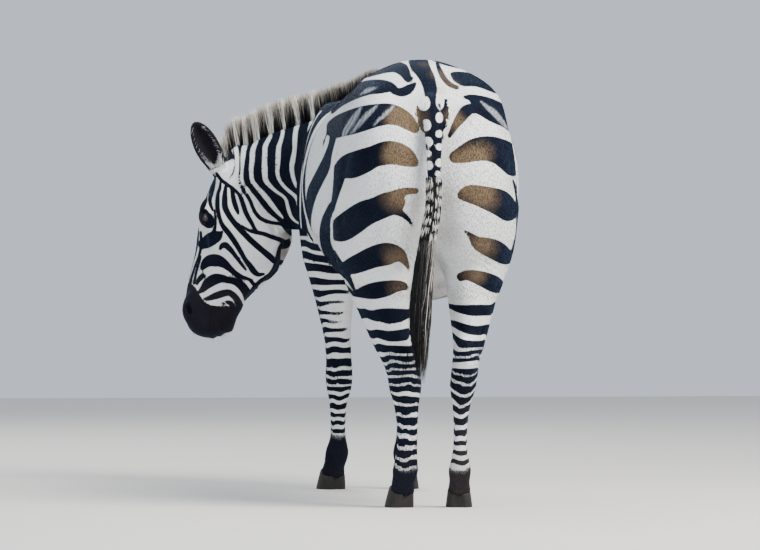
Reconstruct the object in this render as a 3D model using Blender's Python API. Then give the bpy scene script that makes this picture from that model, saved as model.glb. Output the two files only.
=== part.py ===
"""A life-size plains zebra, standing still and looking round to its left with its head hung low.

The body is described as one smooth field: swept tubes and ellipsoids, blended where they meet.
Its surface is meshed whole, thinned out, and then parted by cuts 0.4 mm wide into the named parts.
The hooves, the eyes and the upright mane are made on their own and meet the body without overlap.
"""
import bpy
import bmesh
import numpy as np
from math import radians, sin, cos, pi
from mathutils import Vector, Matrix

for old in list(bpy.data.objects):
    bpy.data.objects.remove(old, do_unlink=True)

GRID = 0.0070          # step of the grid the body is meshed on
FACES = 6250           # triangles left of the body, before it is parted
GAP = 0.0004           # width of each parting cut


def unit(v):
    v = np.asarray(v, float)
    return v / np.linalg.norm(v, axis=-1, keepdims=True)


def smin(a, b, k):
    h = np.maximum(k - np.abs(a - b), 0.0) / k
    return np.minimum(a, b) - h * h * k * 0.25


def smax(a, b, k):
    return -smin(-a, -b, k)


def spline(rows, sub):
    """Catmull-Rom curve through the rows, with sub pieces between neighbours."""
    r = np.asarray(rows, float)
    if len(r) < 3:
        t = np.linspace(0, 1, sub + 1)[:, None]
        return r[0] * (1 - t) + r[-1] * t
    p = np.vstack([2 * r[0] - r[1], r, 2 * r[-1] - r[-2]])
    out = []
    for i in range(1, len(p) - 2):
        a, b, c, d = p[i - 1], p[i], p[i + 1], p[i + 2]
        for t in np.arange(sub) / sub:
            out.append(0.5 * (2 * b + (c - a) * t + (2 * a - 5 * b + 4 * c - d) * t * t
                              + (3 * b - a - 3 * c + d) * t ** 3))
    out.append(p[-2])
    return np.array(out)


def ratio_distance(x, y, z, a, b, c, p):
    """First-order distance to a superellipsoid of radii a, b, c."""
    X, Y, Z = np.abs(x) / a, np.abs(y) / b, np.abs(z) / c
    r = (X ** p + Y ** p) ** (1 / p)
    g = np.sqrt((X ** (p - 1) / a) ** 2 + (Y ** (p - 1) / b) ** 2) * np.maximum(r, 1e-4) ** (1 - p)
    R = np.sqrt(r * r + Z * Z)
    Rs = np.maximum(R, 1e-4)
    G = np.sqrt((r / Rs * g) ** 2 + (Z / Rs / c) ** 2)
    low = np.minimum(np.minimum(a, b), c)
    G = np.maximum(G, 0.35 / np.maximum(np.maximum(a, b), low))
    return np.maximum((R - 1) / G, -low)


class Tube:
    """A swept body. rows: centre x, y, z, half width, radius towards up, radius away from up,
    then optionally the section's power and how much it narrows towards up."""

    def __init__(self, rows, up=(0, 0, 1), k=0.05, power=2.0, taper=0.0, cap=(0.05, 0.05), sub=5):
        r = np.array([list(q) + [power, taper][len(q) - 6:] for q in rows], float)
        s = spline(r, sub)
        self.c, self.w, self.u, self.d, self.p, self.t = s[:, :3], s[:, 3], s[:, 4], s[:, 5], s[:, 6], s[:, 7]
        tan = unit(np.gradient(self.c, axis=0))
        self.tan = tan
        self.side = unit(np.cross(tan, np.asarray(up, float)))
        self.up = np.cross(self.side, tan)
        self.k, self.cap = k, cap
        big = np.maximum(np.maximum(self.w, self.u), self.d) + k + 0.02
        self.lo, self.hi = (self.c - big[:, None]).min(0), (self.c + big[:, None]).max(0)

    def local(self, P):
        best = np.full(len(P), 1e9)
        bi, bt = np.zeros(len(P), int), np.zeros(len(P))
        for i in range(len(self.c) - 1):
            e = self.c[i + 1] - self.c[i]
            v = P - self.c[i]
            t = np.clip(v @ e / (e @ e), 0, 1)
            q = v - t[:, None] * e
            m = np.einsum('ij,ij->i', q, q)
            f = m < best
            best[f], bi[f], bt[f] = m[f], i, t[f]

        def mix(A):
            w = bt.reshape((-1,) + (1,) * (A.ndim - 1))
            return A[bi] * (1 - w) + A[bi + 1] * w
        rel = P - mix(self.c)
        x = np.einsum('ij,ij->i', rel, unit(mix(self.side)))
        y = np.einsum('ij,ij->i', rel, unit(mix(self.up)))
        z = np.einsum('ij,ij->i', rel, unit(mix(self.tan)))
        return bi, bt, x, y, z, mix

    def dist(self, P):
        bi, bt, x, y, z, mix = self.local(P)
        w, u, d, p, tp = mix(self.w), mix(self.u), mix(self.d), mix(self.p), mix(self.t)
        first, last = (bi == 0) & (bt <= 0), (bi == len(self.c) - 2) & (bt >= 1)
        z = np.where(first | last, z, 0.0)
        c = np.where(first, self.cap[0], self.cap[1])
        return ratio_distance(x, y, z, w * (1 - tp * np.clip(y / u, 0, 1)), np.where(y > 0, u, d), c, p)


class Blob:
    """An ellipsoid. axes: one unit direction for each radius."""

    def __init__(self, centre, radii, axes=None, k=0.05, power=2.0):
        self.c, self.r = np.array(centre, float), np.array(radii, float)
        self.A = np.eye(3) if axes is None else unit(np.array(axes, float))
        self.k, self.p = k, power
        m = self.r.max() + k + 0.02
        self.lo, self.hi = self.c - m, self.c + m

    def dist(self, P):
        q = (P - self.c) @ self.A.T
        return ratio_distance(q[:, 0], q[:, 1], q[:, 2], *self.r, self.p)


class Crease:
    """A soft line pressed into the surface (height above 0) or raised from it (below 0)."""

    def __init__(self, pts, width, height, sub=4):
        self.c = spline(pts, sub) if len(pts) > 2 else np.array(pts, float)
        self.w, self.h = width, height
        self.lo, self.hi = self.c.min(0) - 3 * width, self.c.max(0) + 3 * width

    def dist(self, P):
        best = np.full(len(P), 1e9)
        for i in range(len(self.c) - 1):
            e = self.c[i + 1] - self.c[i]
            v = P - self.c[i]
            t = np.clip(v @ e / max(e @ e, 1e-12), 0, 1)
            q = v - t[:, None] * e
            best = np.minimum(best, np.einsum('ij,ij->i', q, q))
        return np.sqrt(best)


def axes_from(a, b):
    a = unit(a)
    b = unit(np.asarray(b, float) - (np.asarray(b, float) @ a) * a)
    return np.array([a, b, np.cross(a, b)])


def evaluate(ops, P, far=1.0):
    """The field at the points P: below 0 inside the body."""
    d = np.full(len(P), far)
    for kind, s in ops:
        i = np.nonzero(np.all((P > s.lo) & (P < s.hi), axis=1))[0]
        if not len(i):
            continue
        v = s.dist(P[i])
        if kind == 'add':
            d[i] = smin(d[i], v, s.k)
        elif kind == 'cut':
            d[i] = smax(d[i], -v, s.k)
        else:
            d[i] += s.h * np.exp(-(v / s.w) ** 2)
    return d


def settle(G):
    """Fills in the squares of the grid whose corners are inside and outside by turns, so that no edge has four faces."""
    for _ in range(10):
        found = 0
        for u, v in ((0, 1), (1, 2), (0, 2)):
            def at(du, dv):
                sl = [slice(None)] * 3
                sl[u] = slice(1, None) if du else slice(0, -1)
                sl[v] = slice(1, None) if dv else slice(0, -1)
                return (G < 0)[tuple(sl)]
            a, b, c, d = at(0, 0), at(1, 0), at(1, 1), at(0, 1)
            for q in np.argwhere((a == c) & (b == d) & (a != b)):
                q = [int(x) for x in q]
                spots = []
                for du, dv in ((0, 0), (1, 0), (1, 1), (0, 1)):
                    r = list(q)
                    r[u] += du
                    r[v] += dv
                    spots.append(tuple(r))
                spots = [r for r in spots if G[r] >= 0]
                if len(spots) == 2:
                    G[min(spots, key=lambda r: G[r])] = -1e-5
                    found += 1
        if not found:
            break


def surface(f, lo, hi, h, coarse=4, band=1.25):
    """Surface nets of f on a grid of step h: (points, quads)."""
    lo, hi = np.array(lo, float), np.array(hi, float)
    n = np.ceil((hi - lo) / (h * coarse)).astype(int) * coarse + 1
    nc = (n - 1) // coarse + 1
    H = h * coarse
    g = np.stack(np.meshgrid(*[lo[a] + H * np.arange(nc[a]) for a in range(3)], indexing='ij'), -1).reshape(-1, 3)
    D = f(g).reshape(nc)
    near = np.abs(D) < H * band
    eight = [(a, b, c) for a in (0, 1) for b in (0, 1) for c in (0, 1)]
    cell = np.zeros(nc - 1, bool)
    for a, b, c in eight:
        cell |= near[a:nc[0] - 1 + a, b:nc[1] - 1 + b, c:nc[2] - 1 + c]

    def grow(A):
        return np.repeat(np.repeat(np.repeat(A, coarse, 0), coarse, 1), coarse, 2)
    G = np.ones(n, np.float32)
    G[:-1, :-1, :-1] = grow(np.where(D < 0, -1.0, 1.0).astype(np.float32)[:-1, :-1, :-1])
    need = np.zeros(n, bool)
    C = grow(cell)
    for a, b, c in eight:
        need[a:n[0] - 1 + a, b:n[1] - 1 + b, c:n[2] - 1 + c] |= C
    idx = np.argwhere(need)
    vals = np.empty(len(idx), np.float32)
    for s in range(0, len(idx), 300000):
        vals[s:s + 300000] = f(lo + h * idx[s:s + 300000])
    G[need] = vals
    settle(G)
    S = G < 0
    act = np.zeros(n - 1, bool)
    for a, b, c in eight:
        act |= S[a:n[0] - 1 + a, b:n[1] - 1 + b, c:n[2] - 1 + c] != S[:-1, :-1, :-1]
    cells = np.argwhere(act)
    vid = np.full(n - 1, -1, np.int64)
    vid[act] = np.arange(len(cells))
    corners = np.array(eight)
    V = np.stack([G[tuple((cells + o).T)] for o in corners], 1)
    pos, cnt = np.zeros((len(cells), 3)), np.zeros(len(cells))
    for i in range(8):
        for j in range(i + 1, 8):
            if np.abs(corners[i] - corners[j]).sum() != 1:
                continue
            x = (V[:, i] < 0) != (V[:, j] < 0)
            t = np.clip(V[x, i] / (V[x, i] - V[x, j]), 0, 1)[:, None]
            pos[x] += corners[i] * (1 - t) + corners[j] * t
            cnt[x] += 1
    pos = lo + h * (cells + pos / cnt[:, None])
    quads = []
    for ax in range(3):
        o1, o2 = [(1, 2), (2, 0), (0, 1)][ax]
        A = S[tuple(slice(0, -1) if k == ax else slice(None) for k in range(3))]
        B = S[tuple(slice(1, None) if k == ax else slice(None) for k in range(3))]
        e = np.argwhere(A != B)
        e = e[(e[:, o1] > 0) & (e[:, o2] > 0) & (e[:, o1] < n[o1] - 1) & (e[:, o2] < n[o2] - 1)]
        inside = A[tuple(e.T)]

        def at(d1, d2):
            q = e.copy()
            q[:, o1] += d1
            q[:, o2] += d2
            return vid[tuple(q.T)]
        q = np.stack([at(-1, -1), at(0, -1), at(0, 0), at(-1, 0)], 1)
        q[~inside] = q[~inside][:, ::-1]
        quads.append(q)
    return pos, np.vstack(quads)


def gradient(f, P, e=0.0015):
    g = np.empty_like(P)
    for a in range(3):
        o = np.zeros(3)
        o[a] = e
        g[:, a] = (f(P + o) - f(P - o)) / (2 * e)
    return g


# ---------------------------------------------------------------- the animal

# The animal faces -Y, its left is +X, the floor is z = 0.
POLL = np.array((0.506, -1.470, 1.031))          # top of the skull, between the ears
HEAD_TURN, HEAD_DROP = radians(60.0), radians(13.75)
FORWARD = np.array((sin(HEAD_TURN), -cos(HEAD_TURN), 0.0))
DOWN = np.array((0.0, 0.0, -1.0))
M = cos(HEAD_DROP) * DOWN + sin(HEAD_DROP) * FORWARD      # from the poll to the muzzle
F = cos(HEAD_DROP) * FORWARD - sin(HEAD_DROP) * DOWN      # out of the front of the face
S = np.array((cos(HEAD_TURN), sin(HEAD_TURN), 0.0))       # out of the head's left cheek
HEAD_AXES = np.array((M, F, S))
EYE_RADIUS = 0.0215
EYE_AT = (0.208, -0.019, 0.0695)
EYE_LINE = 0.92 * M - 0.38 * F                            # from the outer to the inner corner


def hd(m, f, s=0.0):
    """A point of the head: m down from the poll, f out of the face, s to its left."""
    return POLL + m * M + f * F + s * S


def hdrow(m, f, *rest):
    return (*hd(m, f), *rest)


def ear_frame(side):
    """Base, tip, and the three directions of an ear: along it, out of its opening, across it."""
    if side > 0:
        base, tip, opening = hd(0.064, -0.026, 0.058), hd(-0.068, 0.088, 0.085), -0.10 * M - 0.41 * F + 0.906 * S
    else:
        base, tip, opening = hd(0.064, -0.030, -0.058), hd(-0.032, -0.012, -0.195), 0.10 * M + 0.85 * F - 0.30 * S
    e = unit(tip - base)
    n = unit(opening - (opening @ e) * e)
    return base, tip, e, n, np.cross(e, n)


def trunk_ops():
    ops = [('add', Tube([
        (0.003, 0.050, 1.040, 0.120, 0.140, 0.140),
        (0.004, -0.020, 1.030, 0.184, 0.226, 0.220),
        (0.006, -0.130, 1.010, 0.228, 0.291, 0.250),
        (0.004, -0.280, 0.985, 0.258, 0.327, 0.290),
        (0.002, -0.450, 0.960, 0.290, 0.336, 0.335),
        (-0.002, -0.620, 0.940, 0.316, 0.325, 0.356),
        (-0.001, -0.780, 0.930, 0.318, 0.320, 0.344),
        (0.018, -0.920, 0.930, 0.288, 0.322, 0.305, 2.0, 0.10),
        (0.050, -1.040, 0.930, 0.245, 0.325, 0.285, 2.0, 0.25),
        (0.078, -1.150, 0.920, 0.200, 0.265, 0.250, 2.0, 0.15),
        (0.105, -1.240, 0.900, 0.150, 0.180, 0.190)], k=0.06, power=2.15, cap=(0.06, 0.07)))]
    for s in (1, -1):
        ops += [
            ('add', Blob((0.006 + s * 0.128, -0.060, 0.985), (0.122, 0.190, 0.232), k=0.09)),
            ('add', Blob((0.006 + s * (0.118 if s > 0 else 0.142), -0.240, 1.155), (0.080, 0.190, 0.082), k=0.07)),
            ('add', Blob((0.006 + s * 0.142, -0.190, 0.860), (0.110, 0.190, 0.230),
                         axes=axes_from((1, 0, 0), (0, 0.95, -0.3)), k=0.08)),
            ('add', Blob((0.003 + s * 0.103, 0.055, 0.910), (0.088, 0.085, 0.200), k=0.08)),
            ('add', Blob((0.075 + s * 0.140, -1.060, 0.960), (0.075, 0.130, 0.220),
                         axes=axes_from((1, 0, 0), (0, 0.95, 0.3)), k=0.09)),
            ('add', Blob((0.095 + s * 0.100, -1.200, 0.830), (0.080, 0.080, 0.110), k=0.08))]
    return ops


def hind_leg_ops(s):
    rear = (-0.36, 0.93, 0) if s > 0 else (0.12, 0.99, 0)
    n = 0.0 if s > 0 else -0.010
    rows = [
        (0.140, -0.080, 0.860, 0.115, 0.190, 0.230),
        (0.140, -0.085, 0.760, 0.110, 0.175, 0.220),
        (0.136 + n * 0.3, -0.075, 0.690, 0.095, 0.155, 0.175),
        (0.130 + n * 0.7, -0.045, 0.620, 0.076, 0.120, 0.135),
        (0.125 + n, -0.010, 0.550, 0.062, 0.090, 0.098),
        (0.118 + n, 0.020, 0.490, 0.050, 0.072, 0.074),
        (0.105 + n * 0.7, 0.042, 0.440, 0.042, 0.068, 0.062),
        (0.093, 0.042, 0.395, 0.041, 0.056, 0.056),
        (0.088, 0.035, 0.350, 0.039, 0.044, 0.048),
        (0.085, 0.028, 0.300, 0.028, 0.036, 0.036),
        (0.083, 0.024, 0.240, 0.0225, 0.031, 0.029),
        (0.082, 0.022, 0.180, 0.0225, 0.031, 0.029),
        (0.082, 0.018, 0.135, 0.029, 0.034, 0.034),
        (0.082, 0.010, 0.110, 0.034, 0.037, 0.036),
        (0.083, -0.012, 0.075, 0.031, 0.032, 0.034),
        (0.084, -0.030, 0.045, 0.036, 0.036, 0.038)]
    if s > 0:
        more = np.interp([r[2] for r in rows], (0.075, 0.12, 0.20, 0.34, 0.42, 0.50), (0.002, 0.006, 0.0105, 0.0105, 0.007, 0.0))
        rows = [(r[0] - m * 0.95, r[1], r[2], r[3] + m, r[4], r[5]) for r, m in zip(rows, more)]
    return [('add', Tube([(s * r[0], *r[1:]) for r in rows], up=rear, k=0.05, cap=(0.06, 0.02), sub=4)),
            ('add', Blob((s * 0.096, 0.098, 0.440), (0.021, 0.022, 0.045), k=0.035))]


def fore_leg_ops(s):
    cx, fy = (0.190, -1.120) if s > 0 else (-0.008, -1.125)
    rear = (-0.30, 0.95, 0) if s > 0 else (0.10, 0.99, 0)
    rows = [
        (-0.010, 0.030, 1.020, 0.060, 0.110, 0.110),
        (0.010, 0.000, 0.860, 0.095, 0.140, 0.130),
        (0.014, -0.005, 0.740, 0.095, 0.130, 0.120),
        (0.012, 0.005, 0.650, 0.076, 0.105, 0.090),
        (0.008, 0.005, 0.570, 0.058, 0.072, 0.068),
        (0.002, 0.005, 0.480, 0.044, 0.052, 0.052),
        (-0.002, 0.004, 0.410, 0.038, 0.042, 0.042),
        (-0.003, 0.000, 0.350, 0.0395, 0.040, 0.044),
        (-0.002, 0.002, 0.310, 0.036, 0.037, 0.038),
        (0.001, 0.004, 0.265, 0.025, 0.031, 0.027),
        (0.002, 0.005, 0.210, 0.0205, 0.029, 0.024),
        (0.002, 0.005, 0.160, 0.0215, 0.029, 0.025),
        (0.004, 0.004, 0.115, 0.033, 0.035, 0.034),
        (0.010, -0.016, 0.075, 0.030, 0.032, 0.033),
        (0.014, -0.034, 0.045, 0.037, 0.038, 0.038)]
    if s > 0:
        more = np.interp([r[2] for r in rows], (0.045, 0.16, 0.30, 0.40, 0.50), (0.003, 0.0045, 0.004, 0.003, 0.0))
        rows = [(r[0] - m * 0.9, r[1], r[2], r[3] + m, r[4], r[5]) for r, m in zip(rows, more)]
    return [('add', Tube([(cx + s * r[0], fy + r[1], *r[2:]) for r in rows], up=rear, k=0.05, cap=(0.06, 0.02), sub=4))]


def neck_ops():
    return [('add', Tube([
        (0.034, -0.987, 0.950, 0.170, 0.240, 0.250),
        (0.104, -1.103, 0.955, 0.145, 0.220, 0.225),
        (0.186, -1.201, 0.958, 0.120, 0.192, 0.195),
        (0.279, -1.289, 0.955, 0.100, 0.162, 0.172),
        (0.372, -1.373, 0.943, 0.086, 0.135, 0.162),
        (0.442, -1.429, 0.925, 0.076, 0.105, 0.155),
        (0.475, -1.452, 0.905, 0.066, 0.080, 0.130)], k=0.05, taper=0.25, cap=(0.08, 0.03)))]


def head_ops():
    ops = [
        ('add', Tube([
            hdrow(0.010, -0.055, 0.056, 0.034, 0.045, 2.0, 0.00),
            hdrow(0.045, -0.055, 0.063, 0.050, 0.050, 2.0, 0.10),
            hdrow(0.090, -0.056, 0.072, 0.070, 0.065, 2.1, 0.12),
            hdrow(0.150, -0.058, 0.081, 0.084, 0.075, 2.2, 0.18),
            hdrow(0.200, -0.058, 0.082, 0.089, 0.080, 2.3, 0.25),
            hdrow(0.260, -0.058, 0.069, 0.090, 0.085, 2.3, 0.30),
            hdrow(0.330, -0.060, 0.055, 0.087, 0.085, 2.3, 0.35),
            hdrow(0.400, -0.060, 0.049, 0.089, 0.075, 2.3, 0.35),
            hdrow(0.455, -0.060, 0.049, 0.088, 0.070, 2.3, 0.30),
            hdrow(0.505, -0.062, 0.051, 0.080, 0.065, 2.2, 0.20),
            hdrow(0.540, -0.068, 0.048, 0.062, 0.055, 2.0, 0.10)], up=F, k=0.025, cap=(0.04, 0.034))),
        ('add', Tube([
            hdrow(0.140, -0.150, 0.050, 0.080, 0.075),
            hdrow(0.190, -0.165, 0.058, 0.090, 0.090),
            hdrow(0.240, -0.170, 0.060, 0.090, 0.106),
            hdrow(0.290, -0.168, 0.054, 0.085, 0.104),
            hdrow(0.340, -0.155, 0.044, 0.075, 0.088),
            hdrow(0.390, -0.140, 0.037, 0.065, 0.069),
            hdrow(0.440, -0.128, 0.033, 0.052, 0.049),
            hdrow(0.485, -0.119, 0.037, 0.045, 0.039),
            hdrow(0.530, -0.116, 0.037, 0.040, 0.036)], up=F, k=0.025, power=2.1, cap=(0.05, 0.020))),
        ('add', Blob(hd(0.540, -0.062), (0.036, 0.052, 0.047), axes=HEAD_AXES, k=0.02)),
        ('add', Blob(hd(0.520, -0.030), (0.036, 0.042, 0.040), axes=HEAD_AXES, k=0.02))]
    for s in (1, -1):
        ops += [
            ('add', Blob(hd(0.225, -0.165, s * 0.042), (0.098, 0.096, 0.026), axes=HEAD_AXES, k=0.035)),
            ('add', Blob(hd(0.192, -0.016, s * 0.070), (0.046, 0.027, 0.024), axes=HEAD_AXES, k=0.03)),
            ('add', Blob(hd(0.210, -0.060, s * 0.072), (0.080, 0.018, 0.012), axes=HEAD_AXES, k=0.04)),
            ('add', Blob(hd(0.492, -0.014, s * 0.034), (0.038, 0.026, 0.018), axes=HEAD_AXES, k=0.03))]
    ops.append(('line', Crease([hd(0.22, -0.275), hd(0.30, -0.262), hd(0.38, -0.205), hd(0.44, -0.175)], 0.018, 0.016)))
    for s in (1, -1):
        # eye opening, nostril, mouth
        ops.append(('cut', Blob(hd(EYE_AT[0], EYE_AT[1] - 0.001, s * 0.094), (0.021, 0.014, 0.013),
                                axes=axes_from(EYE_LINE, np.cross(S, EYE_LINE)), k=0.006)))
        ops.append(('cut', Blob(hd(0.500, -0.020, s * 0.058), (0.019, 0.008, 0.012),
                                axes=axes_from(0.85 * M - 0.5 * F, 0.5 * M + 0.85 * F), k=0.008)))
        ops.append(('line', Crease([hd(0.580, -0.106, 0), hd(0.560, -0.106, s * 0.034), hd(0.520, -0.100, s * 0.046),
                                    hd(0.480, -0.094, s * 0.044)], 0.006, 0.007)))
    return ops


def ear_ops(s, wall=0.014):
    base, tip, e, n, across = ear_frame(s)
    length = np.linalg.norm(tip - base)
    axes = np.array((e, n, across))
    return [
        ('add', Blob(base + e * 0.015, (0.040, 0.026, 0.028), axes=axes, k=0.025)),
        ('add', Blob(base + e * length * 0.50, (length * 0.50, 0.026, 0.040), axes=axes, k=0.015)),
        ('cut', Blob(base + e * length * 0.515 + n * 0.017, (length * 0.50 - 0.015, 0.043 - wall, 0.0285), axes=axes, k=0.010))]


def tail_ops():
    return [('add', Blob((0.003, 0.030, 1.140), (0.060, 0.075, 0.055), k=0.06)), ('add', Tube([
        (0.002, -0.040, 1.160, 0.046, 0.042, 0.042),
        (0.003, 0.035, 1.166, 0.043, 0.039, 0.039),
        (0.006, 0.110, 1.142, 0.037, 0.034, 0.034),
        (0.008, 0.164, 1.073, 0.032, 0.028, 0.028),
        (0.009, 0.188, 0.929, 0.026, 0.024, 0.024),
        (0.015, 0.192, 0.857, 0.023, 0.022, 0.022),
        (0.028, 0.187, 0.785, 0.026, 0.022, 0.022),
        (0.039, 0.179, 0.678, 0.032, 0.024, 0.024),
        (0.046, 0.173, 0.600, 0.034, 0.024, 0.024),
        (0.048, 0.167, 0.536, 0.031, 0.022, 0.022),
        (0.046, 0.160, 0.455, 0.021, 0.018, 0.018),
        (0.044, 0.154, 0.377, 0.010, 0.010, 0.010)], up=(0, 1, 0), k=0.012, cap=(0.04, 0.03)))]


# ---------------------------------------------------------------- meshes

def make(name, verts, faces):
    me = bpy.data.meshes.new(name)
    me.from_pydata([tuple(v) for v in verts], [], [tuple(int(i) for i in f) for f in faces])
    ob = bpy.data.objects.new(name, me)
    bpy.context.scene.collection.objects.link(ob)
    return ob


def outward(ob):
    bm = bmesh.new()
    bm.from_mesh(ob.data)
    bmesh.ops.triangulate(bm, faces=bm.faces)
    bmesh.ops.recalc_face_normals(bm, faces=bm.faces)
    if bm.calc_volume(signed=True) < 0:
        bmesh.ops.reverse_faces(bm, faces=bm.faces)
    bm.to_mesh(ob.data)
    bm.free()


def apply(ob, kind, **settings):
    m = ob.modifiers.new(kind, kind)
    for k, v in settings.items():
        setattr(m, k, v)
    dep = bpy.context.evaluated_depsgraph_get()
    me = bpy.data.meshes.new_from_object(ob.evaluated_get(dep))
    ob.modifiers.clear()
    ob.data = me


def finish(ob, name, colour, roughness):
    """The surface of one part: horn, eye, short coat or long hair."""
    m = bpy.data.materials.get(name) or bpy.data.materials.new(name)
    m.use_nodes = True
    p = m.node_tree.nodes['Principled BSDF']
    p.inputs['Base Color'].default_value = (*colour, 1.0)
    p.inputs['Roughness'].default_value = roughness
    p.inputs['Metallic'].default_value = 0.0
    ob.data.materials.clear()
    ob.data.materials.append(m)


def volume(ob):
    bm = bmesh.new()
    bm.from_mesh(ob.data)
    v = bm.calc_volume()
    bm.free()
    return v


def take_away(ob, other):
    apply(ob, 'BOOLEAN', operation='DIFFERENCE', object=other, solver='EXACT')


def tidy(ob, near=2e-5):
    bm = bmesh.new()
    bm.from_mesh(ob.data)
    bmesh.ops.remove_doubles(bm, verts=bm.verts, dist=near)
    bmesh.ops.dissolve_degenerate(bm, edges=bm.edges, dist=near)
    bmesh.ops.triangulate(bm, faces=bm.faces)
    bm.to_mesh(ob.data)
    bm.free()


def loft(rings):
    """A closed body through rings with equal numbers of points."""
    n = len(rings[0])
    verts = [p for r in rings for p in r]
    faces = [list(range(n))[::-1], [(len(rings) - 1) * n + i for i in range(n)]]
    for j in range(len(rings) - 1):
        for i in range(n):
            k = (i + 1) % n
            faces.append((j * n + i, j * n + k, (j + 1) * n + k, (j + 1) * n + i))
    return verts, faces


def plate(centre, normal, along, half_along, half_across, thick=GAP):
    """A thin box across the body: its centre, its normal, and its size in its plane."""
    n = unit(normal)
    a = unit(np.asarray(along, float) - (np.asarray(along, float) @ n) * n)
    b = np.cross(n, a)
    c = np.asarray(centre, float)
    verts = [c + x * a * half_along + y * b * half_across + z * n * thick / 2
             for z in (-1, 1) for x, y in ((-1, -1), (1, -1), (1, 1), (-1, 1))]
    faces = [(3, 2, 1, 0), (4, 5, 6, 7), (0, 1, 5, 4), (1, 2, 6, 5), (2, 3, 7, 6), (3, 0, 4, 7)]
    ob = make('plate', verts, faces)
    outward(ob)
    return ob


# ---------------------------------------------------------------- hooves

HOOF_TOP, HOOF_SLOPE = 0.056, 0.34        # height of the coronet at the hoof's middle, its rise towards the toe


def hoof_frame(foot):
    """Middle of the sole, direction of the toe, half width of a foot."""
    return {
        'fore_left': ((0.206, -1.170, 0.0), unit((0.30, -0.95, 0.0)), 0.0430),
        'fore_right': ((-0.022, -1.176, 0.0), unit((-0.10, -0.99, 0.0)), 0.0430),
        'hind_left': ((0.091, -0.046, 0.0), unit((0.36, -0.93, 0.0)), 0.0395),
        'hind_right': ((-0.085, -0.047, 0.0), unit((-0.12, -0.99, 0.0)), 0.0395)}[foot]


def hoof(foot, n=16):
    c, toe, w = hoof_frame(foot)
    c = np.array(c)
    side = np.cross(toe, (0, 0, 1.0))
    rings = []
    for t in (0.0, 0.06, 0.5, 1.0):
        ring = []
        for i in range(n):
            a = 2 * pi * i / n
            u = w * (1 - 0.17 * t) * np.sign(cos(a)) * abs(cos(a)) ** 0.85
            v = sin(a)
            v = (v * 0.052 if v > 0 else -abs(v) ** 0.75 * 0.046) * (1 - 0.20 * t)
            if sin(a) < 0:
                v += 0.010 * max(0.0, 1 - abs(cos(a)) * 2.4)          # notch between the heels
            v -= 0.016 * t
            top = HOOF_TOP + HOOF_SLOPE * v - GAP
            if t < 0.1:
                u, v = u * (0.97 + 0.5 * t), v * (0.97 + 0.5 * t)
            ring.append(c + side * u + toe * v + np.array((0, 0, t * top)))
        rings.append(ring)
    ob = make('hoof_' + foot, *loft(rings))
    outward(ob)
    return ob


def coronet_cutter(foot):
    """Takes the leg away under the coronet's sloping plane."""
    c, toe, w = hoof_frame(foot)
    c = np.array(c)
    side = np.cross(toe, (0, 0, 1.0))
    verts = []
    for z in (0, 1):
        for x, y in ((-1, -1), (1, -1), (1, 1), (-1, 1)):
            p = c + side * x * 0.060 + toe * y * 0.075
            p[2] = HOOF_TOP + HOOF_SLOPE * y * 0.075 if z else -0.05
            verts.append(p)
    ob = make('cutter', verts, [(3, 2, 1, 0), (4, 5, 6, 7), (0, 1, 5, 4), (1, 2, 6, 5), (2, 3, 7, 6), (3, 0, 4, 7)])
    outward(ob)
    return ob


# ---------------------------------------------------------------- the whole body

FEET = ('fore_left', 'fore_right', 'hind_left', 'hind_right')

OPS = (trunk_ops() + hind_leg_ops(1) + hind_leg_ops(-1) + fore_leg_ops(1) + fore_leg_ops(-1)
       + neck_ops() + head_ops() + tail_ops() + ear_ops(1) + ear_ops(-1))


def field(P):
    return evaluate(OPS, P)


points, quads = surface(field, (-0.42, -1.72, -0.03), (0.76, 0.26, 1.36), GRID)
g = gradient(field, points)
points = points - np.clip(field(points) / np.maximum((g * g).sum(1), 0.2), -0.004, 0.004)[:, None] * g
whole = make('whole', points, quads)
outward(whole)
apply(whole, 'DECIMATE', ratio=FACES / len(whole.data.polygons))
for foot in FEET:
    c = coronet_cutter(foot)
    take_away(whole, c)
    bpy.data.objects.remove(c, do_unlink=True)


# ---------------------------------------------------------------- mane

def crest(x, y):
    """Height of the body's top at x, y."""
    z = np.linspace(1.36, 0.80, 561)
    d = field(np.stack([np.full_like(z, x), np.full_like(z, y), z], 1))
    return z[np.argmax(d < 0)]


def mane():
    path = spline([(0.045, -0.978, 0), (0.106, -1.083, 0), (0.187, -1.186, 0), (0.270, -1.273, 0), (0.354, -1.351, 0),
                   (0.428, -1.415, 0), (0.485, -1.458, 0), (0.513, -1.478, 0)], 3)
    tan = unit(np.gradient(path, axis=0))
    side = np.cross(tan, (0, 0, 1.0))
    rings = []
    for i, (p, s) in enumerate(zip(path, side)):
        t = i / (len(path) - 1)
        h = np.interp(t, (0, 0.12, 0.30, 0.55, 0.80, 0.93, 1.0), (0.015, 0.050, 0.090, 0.096, 0.088, 0.070, 0.045))
        w = np.interp(t, (0, 0.15, 0.9, 1.0), (0.008, 0.017, 0.017, 0.011))
        z = crest(p[0], p[1])
        up = np.array((0, 0, 1.0))
        base = np.array((p[0], p[1], z - 0.035))
        h += 0.035
        ring = [base + s * w * a + up * h * b for a, b in
                ((1, 0), (1.0, 0.5), (0.7, 0.87), (0, 1.0), (-0.7, 0.87), (-1.0, 0.5), (-1, 0))]
        rings.append(ring)
    ob = make('mane', *loft(rings))
    outward(ob)
    take_away(ob, whole)
    for v in ob.data.vertices:
        v.co.z += GAP
    return ob


mane_ob = mane()


# ---------------------------------------------------------------- parting

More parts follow.
